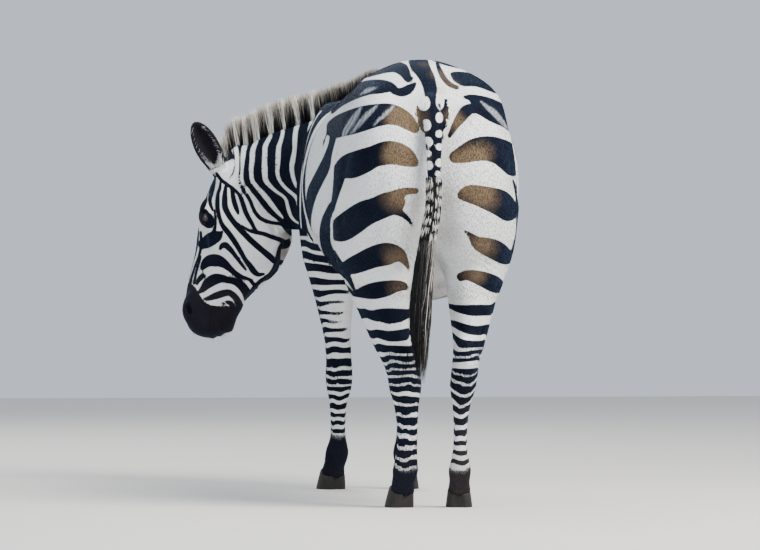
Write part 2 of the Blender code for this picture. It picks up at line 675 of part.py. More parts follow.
base_l, tip_l, e_l, n_l, x_l = ear_frame(1)
base_r, tip_r, e_r, n_r, x_r = ear_frame(-1)
neck_dir = unit((0.62, -0.78, 0.0))
TILT = radians(34)
neck_n = cos(TILT) * neck_dir + sin(TILT) * np.array((0, 0, 1.0))
plates = [
    plate((0.150, -1.155, 0.985), neck_n, sin(TILT) * neck_dir - cos(TILT) * np.array((0, 0, 1.0)), 0.350, 0.400),
    plate(hd(0.085, -0.165), M + F, M - F, 0.230, 0.130),
    plate(base_l + e_l * 0.038, e_l, x_l, 0.046, 0.038),
    plate(base_r + e_r * 0.036, e_r, x_r, 0.048, 0.040),
    plate((0.206, -1.115, 0.612), (0, 0, 1), (1, 0, 0), 0.100, 0.120),
    plate((-0.024, -1.120, 0.612), (0, 0, 1), (1, 0, 0), 0.100, 0.120),
    plate((0.130, -0.052, 0.604), (0, 0, 1), (1, 0, 0), 0.104, 0.172),
    plate((-0.130, -0.052, 0.604), (0, 0, 1), (1, 0, 0), 0.104, 0.172),
    plate((0.008, 0.170, 1.060), (0, 0.2, -0.98), (1, 0, 0), 0.050, 0.036),
    plate((0.016, 0.191, 0.845), (0.1, 0, -1), (1, 0, 0), 0.045, 0.042)]
for p in plates:
    take_away(whole, p)
    bpy.data.objects.remove(p, do_unlink=True)
tidy(whole)

bpy.context.view_layer.objects.active = whole
for o in bpy.context.selected_objects:
    o.select_set(False)
whole.select_set(True)
bpy.ops.mesh.separate(type='LOOSE')
pieces = [o for o in bpy.context.scene.objects if o.type == 'MESH' and (o.name.startswith('whole') or o == whole)]

ANCHORS = {
    'trunk': (0.0, -0.55, 0.95), 'neck': (0.33, -1.32, 0.95), 'head': tuple(hd(0.26, -0.08)),
    'ear_left': tuple(base_l + e_l * 0.10), 'ear_right': tuple(base_r + e_r * 0.10),
    'leg_fore_left': (0.19, -1.12, 0.33), 'leg_fore_right': (-0.01, -1.12, 0.33),
    'leg_hind_left': (0.10, 0.0, 0.33), 'leg_hind_right': (-0.10, 0.0, 0.33),
    'tail_dock': (0.009, 0.160, 0.98), 'tail_tuft': (0.042, 0.160, 0.62)}

named = {}
for ob in sorted(pieces, key=volume, reverse=True):
    c = np.mean([v.co[:] for v in ob.data.vertices], axis=0)
    free = [k for k in ANCHORS if k not in named]
    if not free or volume(ob) < 2e-6:
        bpy.data.objects.remove(ob, do_unlink=True)
        continue
    name = min(free, key=lambda k: np.linalg.norm(np.array(ANCHORS[k]) - c))
    named[name] = ob
    ob.name = name
    ob.data.name = name

# ---------------------------------------------------------------- eyes

for s, name in ((1, 'eye_left'), (-1, 'eye_right')):
    at = hd(EYE_AT[0], EYE_AT[1], s * EYE_AT[2])
    for extra, keep in ((GAP, False), (0.0, True)):
        bm = bmesh.new()
        bmesh.ops.create_uvsphere(bm, u_segments=12, v_segments=8, radius=EYE_RADIUS + extra)
        me = bpy.data.meshes.new(name)
        turn = Matrix([list(M), list(F), list(S)]).transposed().to_4x4()
        bmesh.ops.transform(bm, matrix=Matrix.Translation(Vector(at)) @ turn, verts=bm.verts)
        bm.to_mesh(me)
        bm.free()
        ob = bpy.data.objects.new(name if keep else 'socket', me)
        bpy.context.scene.collection.objects.link(ob)
        outward(ob)
        if not keep:
            take_away(named['head'], ob)
            bpy.data.objects.remove(ob, do_unlink=True)

for foot in FEET:
    hoof(foot)

# ---------------------------------------------------------------- origin: middle of the floor under the box

shapes = [o for o in bpy.context.scene.objects if o.type == 'MESH']
for ob in shapes:
    tidy(ob)
    ob.data.shade_smooth()
    kind = ob.name.split('_')[0]
    finish(ob, *{'hoof': ('horn', (0.030, 0.028, 0.027), 0.45), 'eye': ('eye', (0.012, 0.009, 0.008), 0.06),
                 'mane': ('mane_hair', (0.34, 0.32, 0.30), 0.62)}.get(
        kind, ('tail_hair', (0.10, 0.095, 0.09), 0.55) if ob.name == 'tail_tuft' else ('coat', (0.36, 0.35, 0.34), 0.60)))
co = np.vstack([[v.co[:] for v in o.data.vertices] for o in shapes])
lo, hi = co.min(0), co.max(0)
shift = np.array((-(lo[0] + hi[0]) / 2, -(lo[1] + hi[1]) / 2, -lo[2]))
for ob in shapes:
    for v in ob.data.vertices:
        v.co = Vector(np.array(v.co[:]) + shift)
print('shift', shift, 'box', lo + shift, hi + shift)
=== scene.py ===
"""The looks of the life-size zebra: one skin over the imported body, its stripes, its short coat in fine tufts,
mane, tail, face hair, eyes and hooves, with a pale floor, soft light and the camera.

The skin is the same smooth field as the solids, drawn in by the depth of the coat. Stripes are strokes laid on the
skin: each is a curve with a width, and the distance to its edge is stored on the skin and on every tuft.
"""
import bpy
import bmesh
import numpy as np
from math import radians, sin, cos, pi, sqrt
from mathutils import Vector, Matrix
from mathutils.bvhtree import BVHTree
import time


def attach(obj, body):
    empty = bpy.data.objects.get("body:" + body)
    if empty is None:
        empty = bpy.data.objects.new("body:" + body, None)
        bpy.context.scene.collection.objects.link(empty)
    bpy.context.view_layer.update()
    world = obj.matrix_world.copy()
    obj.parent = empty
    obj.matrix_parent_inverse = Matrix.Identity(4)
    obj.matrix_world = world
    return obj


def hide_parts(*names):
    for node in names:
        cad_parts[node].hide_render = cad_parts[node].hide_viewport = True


T0 = time.time()
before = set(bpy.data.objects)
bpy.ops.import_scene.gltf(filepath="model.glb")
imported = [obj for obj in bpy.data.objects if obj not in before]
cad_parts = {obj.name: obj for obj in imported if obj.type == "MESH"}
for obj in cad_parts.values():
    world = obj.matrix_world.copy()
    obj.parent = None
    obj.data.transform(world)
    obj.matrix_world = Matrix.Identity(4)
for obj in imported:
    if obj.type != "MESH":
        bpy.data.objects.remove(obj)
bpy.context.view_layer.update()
SHIFT = np.array((-0.15833305, 0.70903564, 0.0))      # from the axes the body is described in to the frame's
RNG = np.random.default_rng(7)


def say(*words):
    print('%6.1f s' % (time.time() - T0), *words, flush=True)


# ---------------------------------------------------------------- the field of the body
def unit(v):
    v = np.asarray(v, float)
    return v / np.linalg.norm(v, axis=-1, keepdims=True)


def smin(a, b, k):
    h = np.maximum(k - np.abs(a - b), 0.0) / k
    return np.minimum(a, b) - h * h * k * 0.25


def smax(a, b, k):
    return -smin(-a, -b, k)


def spline(rows, sub):
    """Catmull-Rom curve through the rows, with sub pieces between neighbours."""
    r = np.asarray(rows, float)
    if len(r) < 3:
        t = np.linspace(0, 1, sub + 1)[:, None]
        return r[0] * (1 - t) + r[-1] * t
    p = np.vstack([2 * r[0] - r[1], r, 2 * r[-1] - r[-2]])
    out = []
    for i in range(1, len(p) - 2):
        a, b, c, d = p[i - 1], p[i], p[i + 1], p[i + 2]
        for t in np.arange(sub) / sub:
            out.append(0.5 * (2 * b + (c - a) * t + (2 * a - 5 * b + 4 * c - d) * t * t
                              + (3 * b - a - 3 * c + d) * t ** 3))
    out.append(p[-2])
    return np.array(out)


def ratio_distance(x, y, z, a, b, c, p):
    """First-order distance to a superellipsoid of radii a, b, c."""
    X, Y, Z = np.abs(x) / a, np.abs(y) / b, np.abs(z) / c
    r = (X ** p + Y ** p) ** (1 / p)
    g = np.sqrt((X ** (p - 1) / a) ** 2 + (Y ** (p - 1) / b) ** 2) * np.maximum(r, 1e-4) ** (1 - p)
    R = np.sqrt(r * r + Z * Z)
    Rs = np.maximum(R, 1e-4)
    G = np.sqrt((r / Rs * g) ** 2 + (Z / Rs / c) ** 2)
    low = np.minimum(np.minimum(a, b), c)
    G = np.maximum(G, 0.35 / np.maximum(np.maximum(a, b), low))
    return np.maximum((R - 1) / G, -low)


class Tube:
    """A swept body. rows: centre x, y, z, half width, radius towards up, radius away from up,
    then optionally the section's power and how much it narrows towards up."""

    def __init__(self, rows, up=(0, 0, 1), k=0.05, power=2.0, taper=0.0, cap=(0.05, 0.05), sub=5):
        r = np.array([list(q) + [power, taper][len(q) - 6:] for q in rows], float)
        s = spline(r, sub)
        self.c, self.w, self.u, self.d, self.p, self.t = s[:, :3], s[:, 3], s[:, 4], s[:, 5], s[:, 6], s[:, 7]
        tan = unit(np.gradient(self.c, axis=0))
        self.tan = tan
        self.side = unit(np.cross(tan, np.asarray(up, float)))
        self.up = np.cross(self.side, tan)
        self.k, self.cap = k, cap
        big = np.maximum(np.maximum(self.w, self.u), self.d) + k + 0.02
        self.lo, self.hi = (self.c - big[:, None]).min(0), (self.c + big[:, None]).max(0)

    def local(self, P):
        best = np.full(len(P), 1e9)
        bi, bt = np.zeros(len(P), int), np.zeros(len(P))
        for i in range(len(self.c) - 1):
            e = self.c[i + 1] - self.c[i]
            v = P - self.c[i]
            t = np.clip(v @ e / (e @ e), 0, 1)
            q = v - t[:, None] * e
            m = np.einsum('ij,ij->i', q, q)
            f = m < best
            best[f], bi[f], bt[f] = m[f], i, t[f]

        def mix(A):
            w = bt.reshape((-1,) + (1,) * (A.ndim - 1))
            return A[bi] * (1 - w) + A[bi + 1] * w
        rel = P - mix(self.c)
        x = np.einsum('ij,ij->i', rel, unit(mix(self.side)))
        y = np.einsum('ij,ij->i', rel, unit(mix(self.up)))
        z = np.einsum('ij,ij->i', rel, unit(mix(self.tan)))
        return bi, bt, x, y, z, mix

    def dist(self, P):
        bi, bt, x, y, z, mix = self.local(P)
        w, u, d, p, tp = mix(self.w), mix(self.u), mix(self.d), mix(self.p), mix(self.t)
        first, last = (bi == 0) & (bt <= 0), (bi == len(self.c) - 2) & (bt >= 1)
        z = np.where(first | last, z, 0.0)
        c = np.where(first, self.cap[0], self.cap[1])
        return ratio_distance(x, y, z, w * (1 - tp * np.clip(y / u, 0, 1)), np.where(y > 0, u, d), c, p)


class Blob:
    """An ellipsoid. axes: one unit direction for each radius."""

    def __init__(self, centre, radii, axes=None, k=0.05, power=2.0):
        self.c, self.r = np.array(centre, float), np.array(radii, float)
        self.A = np.eye(3) if axes is None else unit(np.array(axes, float))
        self.k, self.p = k, power
        m = self.r.max() + k + 0.02
        self.lo, self.hi = self.c - m, self.c + m

    def dist(self, P):
        q = (P - self.c) @ self.A.T
        return ratio_distance(q[:, 0], q[:, 1], q[:, 2], *self.r, self.p)


class Crease:
    """A soft line pressed into the surface (height above 0) or raised from it (below 0)."""

    def __init__(self, pts, width, height, sub=4):
        self.c = spline(pts, sub) if len(pts) > 2 else np.array(pts, float)
        self.w, self.h = width, height
        self.lo, self.hi = self.c.min(0) - 3 * width, self.c.max(0) + 3 * width

    def dist(self, P):
        best = np.full(len(P), 1e9)
        for i in range(len(self.c) - 1):
            e = self.c[i + 1] - self.c[i]
            v = P - self.c[i]
            t = np.clip(v @ e / max(e @ e, 1e-12), 0, 1)
            q = v - t[:, None] * e
            best = np.minimum(best, np.einsum('ij,ij->i', q, q))
        return np.sqrt(best)


def axes_from(a, b):
    a = unit(a)
    b = unit(np.asarray(b, float) - (np.asarray(b, float) @ a) * a)
    return np.array([a, b, np.cross(a, b)])


def evaluate(ops, P, far=1.0):
    """The field at the points P: below 0 inside the body."""
    d = np.full(len(P), far)
    for kind, s in ops:
        i = np.nonzero(np.all((P > s.lo) & (P < s.hi), axis=1))[0]
        if not len(i):
            continue
        v = s.dist(P[i])
        if kind == 'add':
            d[i] = smin(d[i], v, s.k)
        elif kind == 'cut':
            d[i] = smax(d[i], -v, s.k)
        else:
            d[i] += s.h * np.exp(-(v / s.w) ** 2)
    return d


def settle(G):
    """Fills in the squares of the grid whose corners are inside and outside by turns, so that no edge has four faces."""
    for _ in range(10):
        found = 0
        for u, v in ((0, 1), (1, 2), (0, 2)):
            def at(du, dv):
                sl = [slice(None)] * 3
                sl[u] = slice(1, None) if du else slice(0, -1)
                sl[v] = slice(1, None) if dv else slice(0, -1)
                return (G < 0)[tuple(sl)]
            a, b, c, d = at(0, 0), at(1, 0), at(1, 1), at(0, 1)
            for q in np.argwhere((a == c) & (b == d) & (a != b)):
                q = [int(x) for x in q]
                spots = []
                for du, dv in ((0, 0), (1, 0), (1, 1), (0, 1)):
                    r = list(q)
                    r[u] += du
                    r[v] += dv
                    spots.append(tuple(r))
                spots = [r for r in spots if G[r] >= 0]
                if len(spots) == 2:
                    G[min(spots, key=lambda r: G[r])] = -1e-5
                    found += 1
        if not found:
            break


def surface(f, lo, hi, h, coarse=4, band=1.25):
    """Surface nets of f on a grid of step h: (points, quads)."""
    lo, hi = np.array(lo, float), np.array(hi, float)
    n = np.ceil((hi - lo) / (h * coarse)).astype(int) * coarse + 1
    nc = (n - 1) // coarse + 1
    H = h * coarse
    g = np.stack(np.meshgrid(*[lo[a] + H * np.arange(nc[a]) for a in range(3)], indexing='ij'), -1).reshape(-1, 3)
    D = f(g).reshape(nc)
    near = np.abs(D) < H * band
    eight = [(a, b, c) for a in (0, 1) for b in (0, 1) for c in (0, 1)]
    cell = np.zeros(nc - 1, bool)
    for a, b, c in eight:
        cell |= near[a:nc[0] - 1 + a, b:nc[1] - 1 + b, c:nc[2] - 1 + c]

    def grow(A):
        return np.repeat(np.repeat(np.repeat(A, coarse, 0), coarse, 1), coarse, 2)
    G = np.ones(n, np.float32)
    G[:-1, :-1, :-1] = grow(np.where(D < 0, -1.0, 1.0).astype(np.float32)[:-1, :-1, :-1])
    need = np.zeros(n, bool)
    C = grow(cell)
    for a, b, c in eight:
        need[a:n[0] - 1 + a, b:n[1] - 1 + b, c:n[2] - 1 + c] |= C
    idx = np.argwhere(need)
    vals = np.empty(len(idx), np.float32)
    for s in range(0, len(idx), 300000):
        vals[s:s + 300000] = f(lo + h * idx[s:s + 300000])
    G[need] = vals
    settle(G)
    S = G < 0
    act = np.zeros(n - 1, bool)
    for a, b, c in eight:
        act |= S[a:n[0] - 1 + a, b:n[1] - 1 + b, c:n[2] - 1 + c] != S[:-1, :-1, :-1]
    cells = np.argwhere(act)
    vid = np.full(n - 1, -1, np.int64)
    vid[act] = np.arange(len(cells))
    corners = np.array(eight)
    V = np.stack([G[tuple((cells + o).T)] for o in corners], 1)
    pos, cnt = np.zeros((len(cells), 3)), np.zeros(len(cells))
    for i in range(8):
        for j in range(i + 1, 8):
            if np.abs(corners[i] - corners[j]).sum() != 1:
                continue
            x = (V[:, i] < 0) != (V[:, j] < 0)
            t = np.clip(V[x, i] / (V[x, i] - V[x, j]), 0, 1)[:, None]
            pos[x] += corners[i] * (1 - t) + corners[j] * t
            cnt[x] += 1
    pos = lo + h * (cells + pos / cnt[:, None])
    quads = []
    for ax in range(3):
        o1, o2 = [(1, 2), (2, 0), (0, 1)][ax]
        A = S[tuple(slice(0, -1) if k == ax else slice(None) for k in range(3))]
        B = S[tuple(slice(1, None) if k == ax else slice(None) for k in range(3))]
        e = np.argwhere(A != B)
        e = e[(e[:, o1] > 0) & (e[:, o2] > 0) & (e[:, o1] < n[o1] - 1) & (e[:, o2] < n[o2] - 1)]
        inside = A[tuple(e.T)]

        def at(d1, d2):
            q = e.copy()
            q[:, o1] += d1
            q[:, o2] += d2
            return vid[tuple(q.T)]
        q = np.stack([at(-1, -1), at(0, -1), at(0, 0), at(-1, 0)], 1)
        q[~inside] = q[~inside][:, ::-1]
        quads.append(q)
    return pos, np.vstack(quads)


def gradient(f, P, e=0.0015):
    g = np.empty_like(P)
    for a in range(3):
        o = np.zeros(3)
        o[a] = e
        g[:, a] = (f(P + o) - f(P - o)) / (2 * e)
    return g
# The animal faces -Y, its left is +X, the floor is z = 0.
POLL = np.array((0.506, -1.470, 1.031))          # top of the skull, between the ears
HEAD_TURN, HEAD_DROP = radians(60.0), radians(13.75)
FORWARD = np.array((sin(HEAD_TURN), -cos(HEAD_TURN), 0.0))
DOWN = np.array((0.0, 0.0, -1.0))
M = cos(HEAD_DROP) * DOWN + sin(HEAD_DROP) * FORWARD      # from the poll to the muzzle
F = cos(HEAD_DROP) * FORWARD - sin(HEAD_DROP) * DOWN      # out of the front of the face
S = np.array((cos(HEAD_TURN), sin(HEAD_TURN), 0.0))       # out of the head's left cheek
HEAD_AXES = np.array((M, F, S))
EYE_RADIUS = 0.0215
EYE_AT = (0.208, -0.019, 0.0695)
EYE_LINE = 0.92 * M - 0.38 * F                            # from the outer to the inner corner


def hd(m, f, s=0.0):
    """A point of the head: m down from the poll, f out of the face, s to its left."""
    return POLL + m * M + f * F + s * S


def hdrow(m, f, *rest):
    return (*hd(m, f), *rest)


def ear_frame(side):
    """Base, tip, and the three directions of an ear: along it, out of its opening, across it."""
    if side > 0:
        base, tip, opening = hd(0.064, -0.026, 0.058), hd(-0.068, 0.088, 0.085), -0.10 * M - 0.41 * F + 0.906 * S
    else:
        base, tip, opening = hd(0.064, -0.030, -0.058), hd(-0.032, -0.012, -0.195), 0.10 * M + 0.85 * F - 0.30 * S
    e = unit(tip - base)
    n = unit(opening - (opening @ e) * e)
    return base, tip, e, n, np.cross(e, n)


def trunk_ops():
    ops = [('add', Tube([
        (0.003, 0.050, 1.040, 0.120, 0.140, 0.140),
        (0.004, -0.020, 1.030, 0.184, 0.226, 0.220),
        (0.006, -0.130, 1.010, 0.228, 0.291, 0.250),
        (0.004, -0.280, 0.985, 0.258, 0.327, 0.290),
        (0.002, -0.450, 0.960, 0.290, 0.336, 0.335),
        (-0.002, -0.620, 0.940, 0.316, 0.325, 0.356),
        (-0.001, -0.780, 0.930, 0.318, 0.320, 0.344),
        (0.018, -0.920, 0.930, 0.288, 0.322, 0.305, 2.0, 0.10),
        (0.050, -1.040, 0.930, 0.245, 0.325, 0.285, 2.0, 0.25),
        (0.078, -1.150, 0.920, 0.200, 0.265, 0.250, 2.0, 0.15),
        (0.105, -1.240, 0.900, 0.150, 0.180, 0.190)], k=0.06, power=2.15, cap=(0.06, 0.07)))]
    for s in (1, -1):
        ops += [
            ('add', Blob((0.006 + s * 0.128, -0.060, 0.985), (0.122, 0.190, 0.232), k=0.09)),
            ('add', Blob((0.006 + s * (0.118 if s > 0 else 0.142), -0.240, 1.155), (0.080, 0.190, 0.082), k=0.07)),
            ('add', Blob((0.006 + s * 0.142, -0.190, 0.860), (0.110, 0.190, 0.230),
                         axes=axes_from((1, 0, 0), (0, 0.95, -0.3)), k=0.08)),
            ('add', Blob((0.003 + s * 0.103, 0.055, 0.910), (0.088, 0.085, 0.200), k=0.08)),
            ('add', Blob((0.075 + s * 0.140, -1.060, 0.960), (0.075, 0.130, 0.220),
                         axes=axes_from((1, 0, 0), (0, 0.95, 0.3)), k=0.09)),
            ('add', Blob((0.095 + s * 0.100, -1.200, 0.830), (0.080, 0.080, 0.110), k=0.08))]
    return ops


def hind_leg_ops(s):
    rear = (-0.36, 0.93, 0) if s > 0 else (0.12, 0.99, 0)
    n = 0.0 if s > 0 else -0.010
    rows = [
        (0.140, -0.080, 0.860, 0.115, 0.190, 0.230),
        (0.140, -0.085, 0.760, 0.110, 0.175, 0.220),
        (0.136 + n * 0.3, -0.075, 0.690, 0.095, 0.155, 0.175),
        (0.130 + n * 0.7, -0.045, 0.620, 0.076, 0.120, 0.135),
        (0.125 + n, -0.010, 0.550, 0.062, 0.090, 0.098),
        (0.118 + n, 0.020, 0.490, 0.050, 0.072, 0.074),
        (0.105 + n * 0.7, 0.042, 0.440, 0.042, 0.068, 0.062),
        (0.093, 0.042, 0.395, 0.041, 0.056, 0.056),
        (0.088, 0.035, 0.350, 0.039, 0.044, 0.048),
        (0.085, 0.028, 0.300, 0.028, 0.036, 0.036),
        (0.083, 0.024, 0.240, 0.0225, 0.031, 0.029),
        (0.082, 0.022, 0.180, 0.0225, 0.031, 0.029),
        (0.082, 0.018, 0.135, 0.029, 0.034, 0.034),
        (0.082, 0.010, 0.110, 0.034, 0.037, 0.036),
        (0.083, -0.012, 0.075, 0.031, 0.032, 0.034),
        (0.084, -0.030, 0.045, 0.036, 0.036, 0.038)]
    if s > 0:
        more = np.interp([r[2] for r in rows], (0.075, 0.12, 0.20, 0.34, 0.42, 0.50), (0.002, 0.006, 0.0105, 0.0105, 0.007, 0.0))
        rows = [(r[0] - m * 0.95, r[1], r[2], r[3] + m, r[4], r[5]) for r, m in zip(rows, more)]
    return [('add', Tube([(s * r[0], *r[1:]) for r in rows], up=rear, k=0.05, cap=(0.06, 0.02), sub=4)),
            ('add', Blob((s * 0.096, 0.098, 0.440), (0.021, 0.022, 0.045), k=0.035))]


def fore_leg_ops(s):
    cx, fy = (0.190, -1.120) if s > 0 else (-0.008, -1.125)
    rear = (-0.30, 0.95, 0) if s > 0 else (0.10, 0.99, 0)
    rows = [
        (-0.010, 0.030, 1.020, 0.060, 0.110, 0.110),
        (0.010, 0.000, 0.860, 0.095, 0.140, 0.130),
        (0.014, -0.005, 0.740, 0.095, 0.130, 0.120),
        (0.012, 0.005, 0.650, 0.076, 0.105, 0.090),
        (0.008, 0.005, 0.570, 0.058, 0.072, 0.068),
        (0.002, 0.005, 0.480, 0.044, 0.052, 0.052),
        (-0.002, 0.004, 0.410, 0.038, 0.042, 0.042),
        (-0.003, 0.000, 0.350, 0.0395, 0.040, 0.044),
        (-0.002, 0.002, 0.310, 0.036, 0.037, 0.038),
        (0.001, 0.004, 0.265, 0.025, 0.031, 0.027),
        (0.002, 0.005, 0.210, 0.0205, 0.029, 0.024),
        (0.002, 0.005, 0.160, 0.0215, 0.029, 0.025),
        (0.004, 0.004, 0.115, 0.033, 0.035, 0.034),
        (0.010, -0.016, 0.075, 0.030, 0.032, 0.033),
        (0.014, -0.034, 0.045, 0.037, 0.038, 0.038)]
    if s > 0:
        more = np.interp([r[2] for r in rows], (0.045, 0.16, 0.30, 0.40, 0.50), (0.003, 0.0045, 0.004, 0.003, 0.0))
        rows = [(r[0] - m * 0.9, r[1], r[2], r[3] + m, r[4], r[5]) for r, m in zip(rows, more)]
    return [('add', Tube([(cx + s * r[0], fy + r[1], *r[2:]) for r in rows], up=rear, k=0.05, cap=(0.06, 0.02), sub=4))]


def neck_ops():
    return [('add', Tube([
        (0.034, -0.987, 0.950, 0.170, 0.240, 0.250),
        (0.104, -1.103, 0.955, 0.145, 0.220, 0.225),
        (0.186, -1.201, 0.958, 0.120, 0.192, 0.195),
        (0.279, -1.289, 0.955, 0.100, 0.162, 0.172),
        (0.372, -1.373, 0.943, 0.086, 0.135, 0.162),
        (0.442, -1.429, 0.925, 0.076, 0.105, 0.155),
        (0.475, -1.452, 0.905, 0.066, 0.080, 0.130)], k=0.05, taper=0.25, cap=(0.08, 0.03)))]


def head_ops():
    ops = [
        ('add', Tube([
            hdrow(0.010, -0.055, 0.056, 0.034, 0.045, 2.0, 0.00),
            hdrow(0.045, -0.055, 0.063, 0.050, 0.050, 2.0, 0.10),
            hdrow(0.090, -0.056, 0.072, 0.070, 0.065, 2.1, 0.12),
            hdrow(0.150, -0.058, 0.081, 0.084, 0.075, 2.2, 0.18),
            hdrow(0.200, -0.058, 0.082, 0.089, 0.080, 2.3, 0.25),
            hdrow(0.260, -0.058, 0.069, 0.090, 0.085, 2.3, 0.30),
            hdrow(0.330, -0.060, 0.055, 0.087, 0.085, 2.3, 0.35),
            hdrow(0.400, -0.060, 0.049, 0.089, 0.075, 2.3, 0.35),
            hdrow(0.455, -0.060, 0.049, 0.088, 0.070, 2.3, 0.30),
            hdrow(0.505, -0.062, 0.051, 0.080, 0.065, 2.2, 0.20),
            hdrow(0.540, -0.068, 0.048, 0.062, 0.055, 2.0, 0.10)], up=F, k=0.025, cap=(0.04, 0.034))),
        ('add', Tube([
            hdrow(0.140, -0.150, 0.050, 0.080, 0.075),
            hdrow(0.190, -0.165, 0.058, 0.090, 0.090),
            hdrow(0.240, -0.170, 0.060, 0.090, 0.106),
            hdrow(0.290, -0.168, 0.054, 0.085, 0.104),
            hdrow(0.340, -0.155, 0.044, 0.075, 0.088),
            hdrow(0.390, -0.140, 0.037, 0.065, 0.069),
            hdrow(0.440, -0.128, 0.033, 0.052, 0.049),
            hdrow(0.485, -0.119, 0.037, 0.045, 0.039),
            hdrow(0.530, -0.116, 0.037, 0.040, 0.036)], up=F, k=0.025, power=2.1, cap=(0.05, 0.020))),
        ('add', Blob(hd(0.540, -0.062), (0.036, 0.052, 0.047), axes=HEAD_AXES, k=0.02)),
        ('add', Blob(hd(0.520, -0.030), (0.036, 0.042, 0.040), axes=HEAD_AXES, k=0.02))]
    for s in (1, -1):
        ops += [
            ('add', Blob(hd(0.225, -0.165, s * 0.042), (0.098, 0.096, 0.026), axes=HEAD_AXES, k=0.035)),
            ('add', Blob(hd(0.192, -0.016, s * 0.070), (0.046, 0.027, 0.024), axes=HEAD_AXES, k=0.03)),
            ('add', Blob(hd(0.210, -0.060, s * 0.072), (0.080, 0.018, 0.012), axes=HEAD_AXES, k=0.04)),
            ('add', Blob(hd(0.492, -0.014, s * 0.034), (0.038, 0.026, 0.018), axes=HEAD_AXES, k=0.03))]
    ops.append(('line', Crease([hd(0.22, -0.275), hd(0.30, -0.262), hd(0.38, -0.205), hd(0.44, -0.175)], 0.018, 0.016)))
    for s in (1, -1):
        # eye opening, nostril, mouth
        ops.append(('cut', Blob(hd(EYE_AT[0], EYE_AT[1] - 0.001, s * 0.094), (0.021, 0.014, 0.013),
                                axes=axes_from(EYE_LINE, np.cross(S, EYE_LINE)), k=0.006)))
        ops.append(('cut', Blob(hd(0.500, -0.020, s * 0.058), (0.019, 0.008, 0.012),
                                axes=axes_from(0.85 * M - 0.5 * F, 0.5 * M + 0.85 * F), k=0.008)))
        ops.append(('line', Crease([hd(0.580, -0.106, 0), hd(0.560, -0.106, s * 0.034), hd(0.520, -0.100, s * 0.046),
                                    hd(0.480, -0.094, s * 0.044)], 0.006, 0.007)))
    return ops


def ear_ops(s, wall=0.014):
    base, tip, e, n, across = ear_frame(s)
    length = np.linalg.norm(tip - base)
    axes = np.array((e, n, across))
    return [
        ('add', Blob(base + e * 0.015, (0.040, 0.026, 0.028), axes=axes, k=0.025)),
        ('add', Blob(base + e * length * 0.50, (length * 0.50, 0.026, 0.040), axes=axes, k=0.015)),
        ('cut', Blob(base + e * length * 0.515 + n * 0.017, (length * 0.50 - 0.015, 0.043 - wall, 0.0285), axes=axes, k=0.010))]


def tail_ops():
    return [('add', Blob((0.003, 0.030, 1.140), (0.060, 0.075, 0.055), k=0.06)), ('add', Tube([
        (0.002, -0.040, 1.160, 0.046, 0.042, 0.042),
        (0.003, 0.035, 1.166, 0.043, 0.039, 0.039),
        (0.006, 0.110, 1.142, 0.037, 0.034, 0.034),
        (0.008, 0.164, 1.073, 0.032, 0.028, 0.028),
        (0.009, 0.188, 0.929, 0.026, 0.024, 0.024),
        (0.015, 0.192, 0.857, 0.023, 0.022, 0.022),
        (0.028, 0.187, 0.785, 0.026, 0.022, 0.022),
        (0.039, 0.179, 0.678, 0.032, 0.024, 0.024),
        (0.046, 0.173, 0.600, 0.034, 0.024, 0.024),
        (0.048, 0.167, 0.536, 0.031, 0.022, 0.022),
        (0.046, 0.160, 0.455, 0.021, 0.018, 0.018),
        (0.044, 0.154, 0.377, 0.010, 0.010, 0.010)], up=(0, 1, 0), k=0.012, cap=(0.04, 0.03)))]


# ---------------------------------------------------------------- the skin's own detail

HOOF_TOP, HOOF_SLOPE = 0.056, 0.34
FEET = {'fore_left': ((0.206, -1.170, 0.0), unit((0.30, -0.95, 0.0)), 0.0430),
        'fore_right': ((-0.022, -1.176, 0.0), unit((-0.10, -0.99, 0.0)), 0.0430),
        'hind_left': ((0.091, -0.046, 0.0), unit((0.36, -0.93, 0.0)), 0.0395),
        'hind_right': ((-0.085, -0.047, 0.0), unit((-0.12, -0.99, 0.0)), 0.0395)}


class Under:
    """All that lies under a foot's coronet."""

    def __init__(self, foot):
        c, toe, w = FEET[foot]
        self.c = np.array(c) + (0, 0, HOOF_TOP - 0.006)
        self.n = unit(np.array((-toe[0] * HOOF_SLOPE, -toe[1] * HOOF_SLOPE, 1.0)))
        self.k = 0.006
        self.lo, self.hi = np.array(c) + (-0.09, -0.09, -0.06), np.array(c) + (0.09, 0.09, 0.11)

    def dist(self, P):
        return (P - self.c) @ self.n


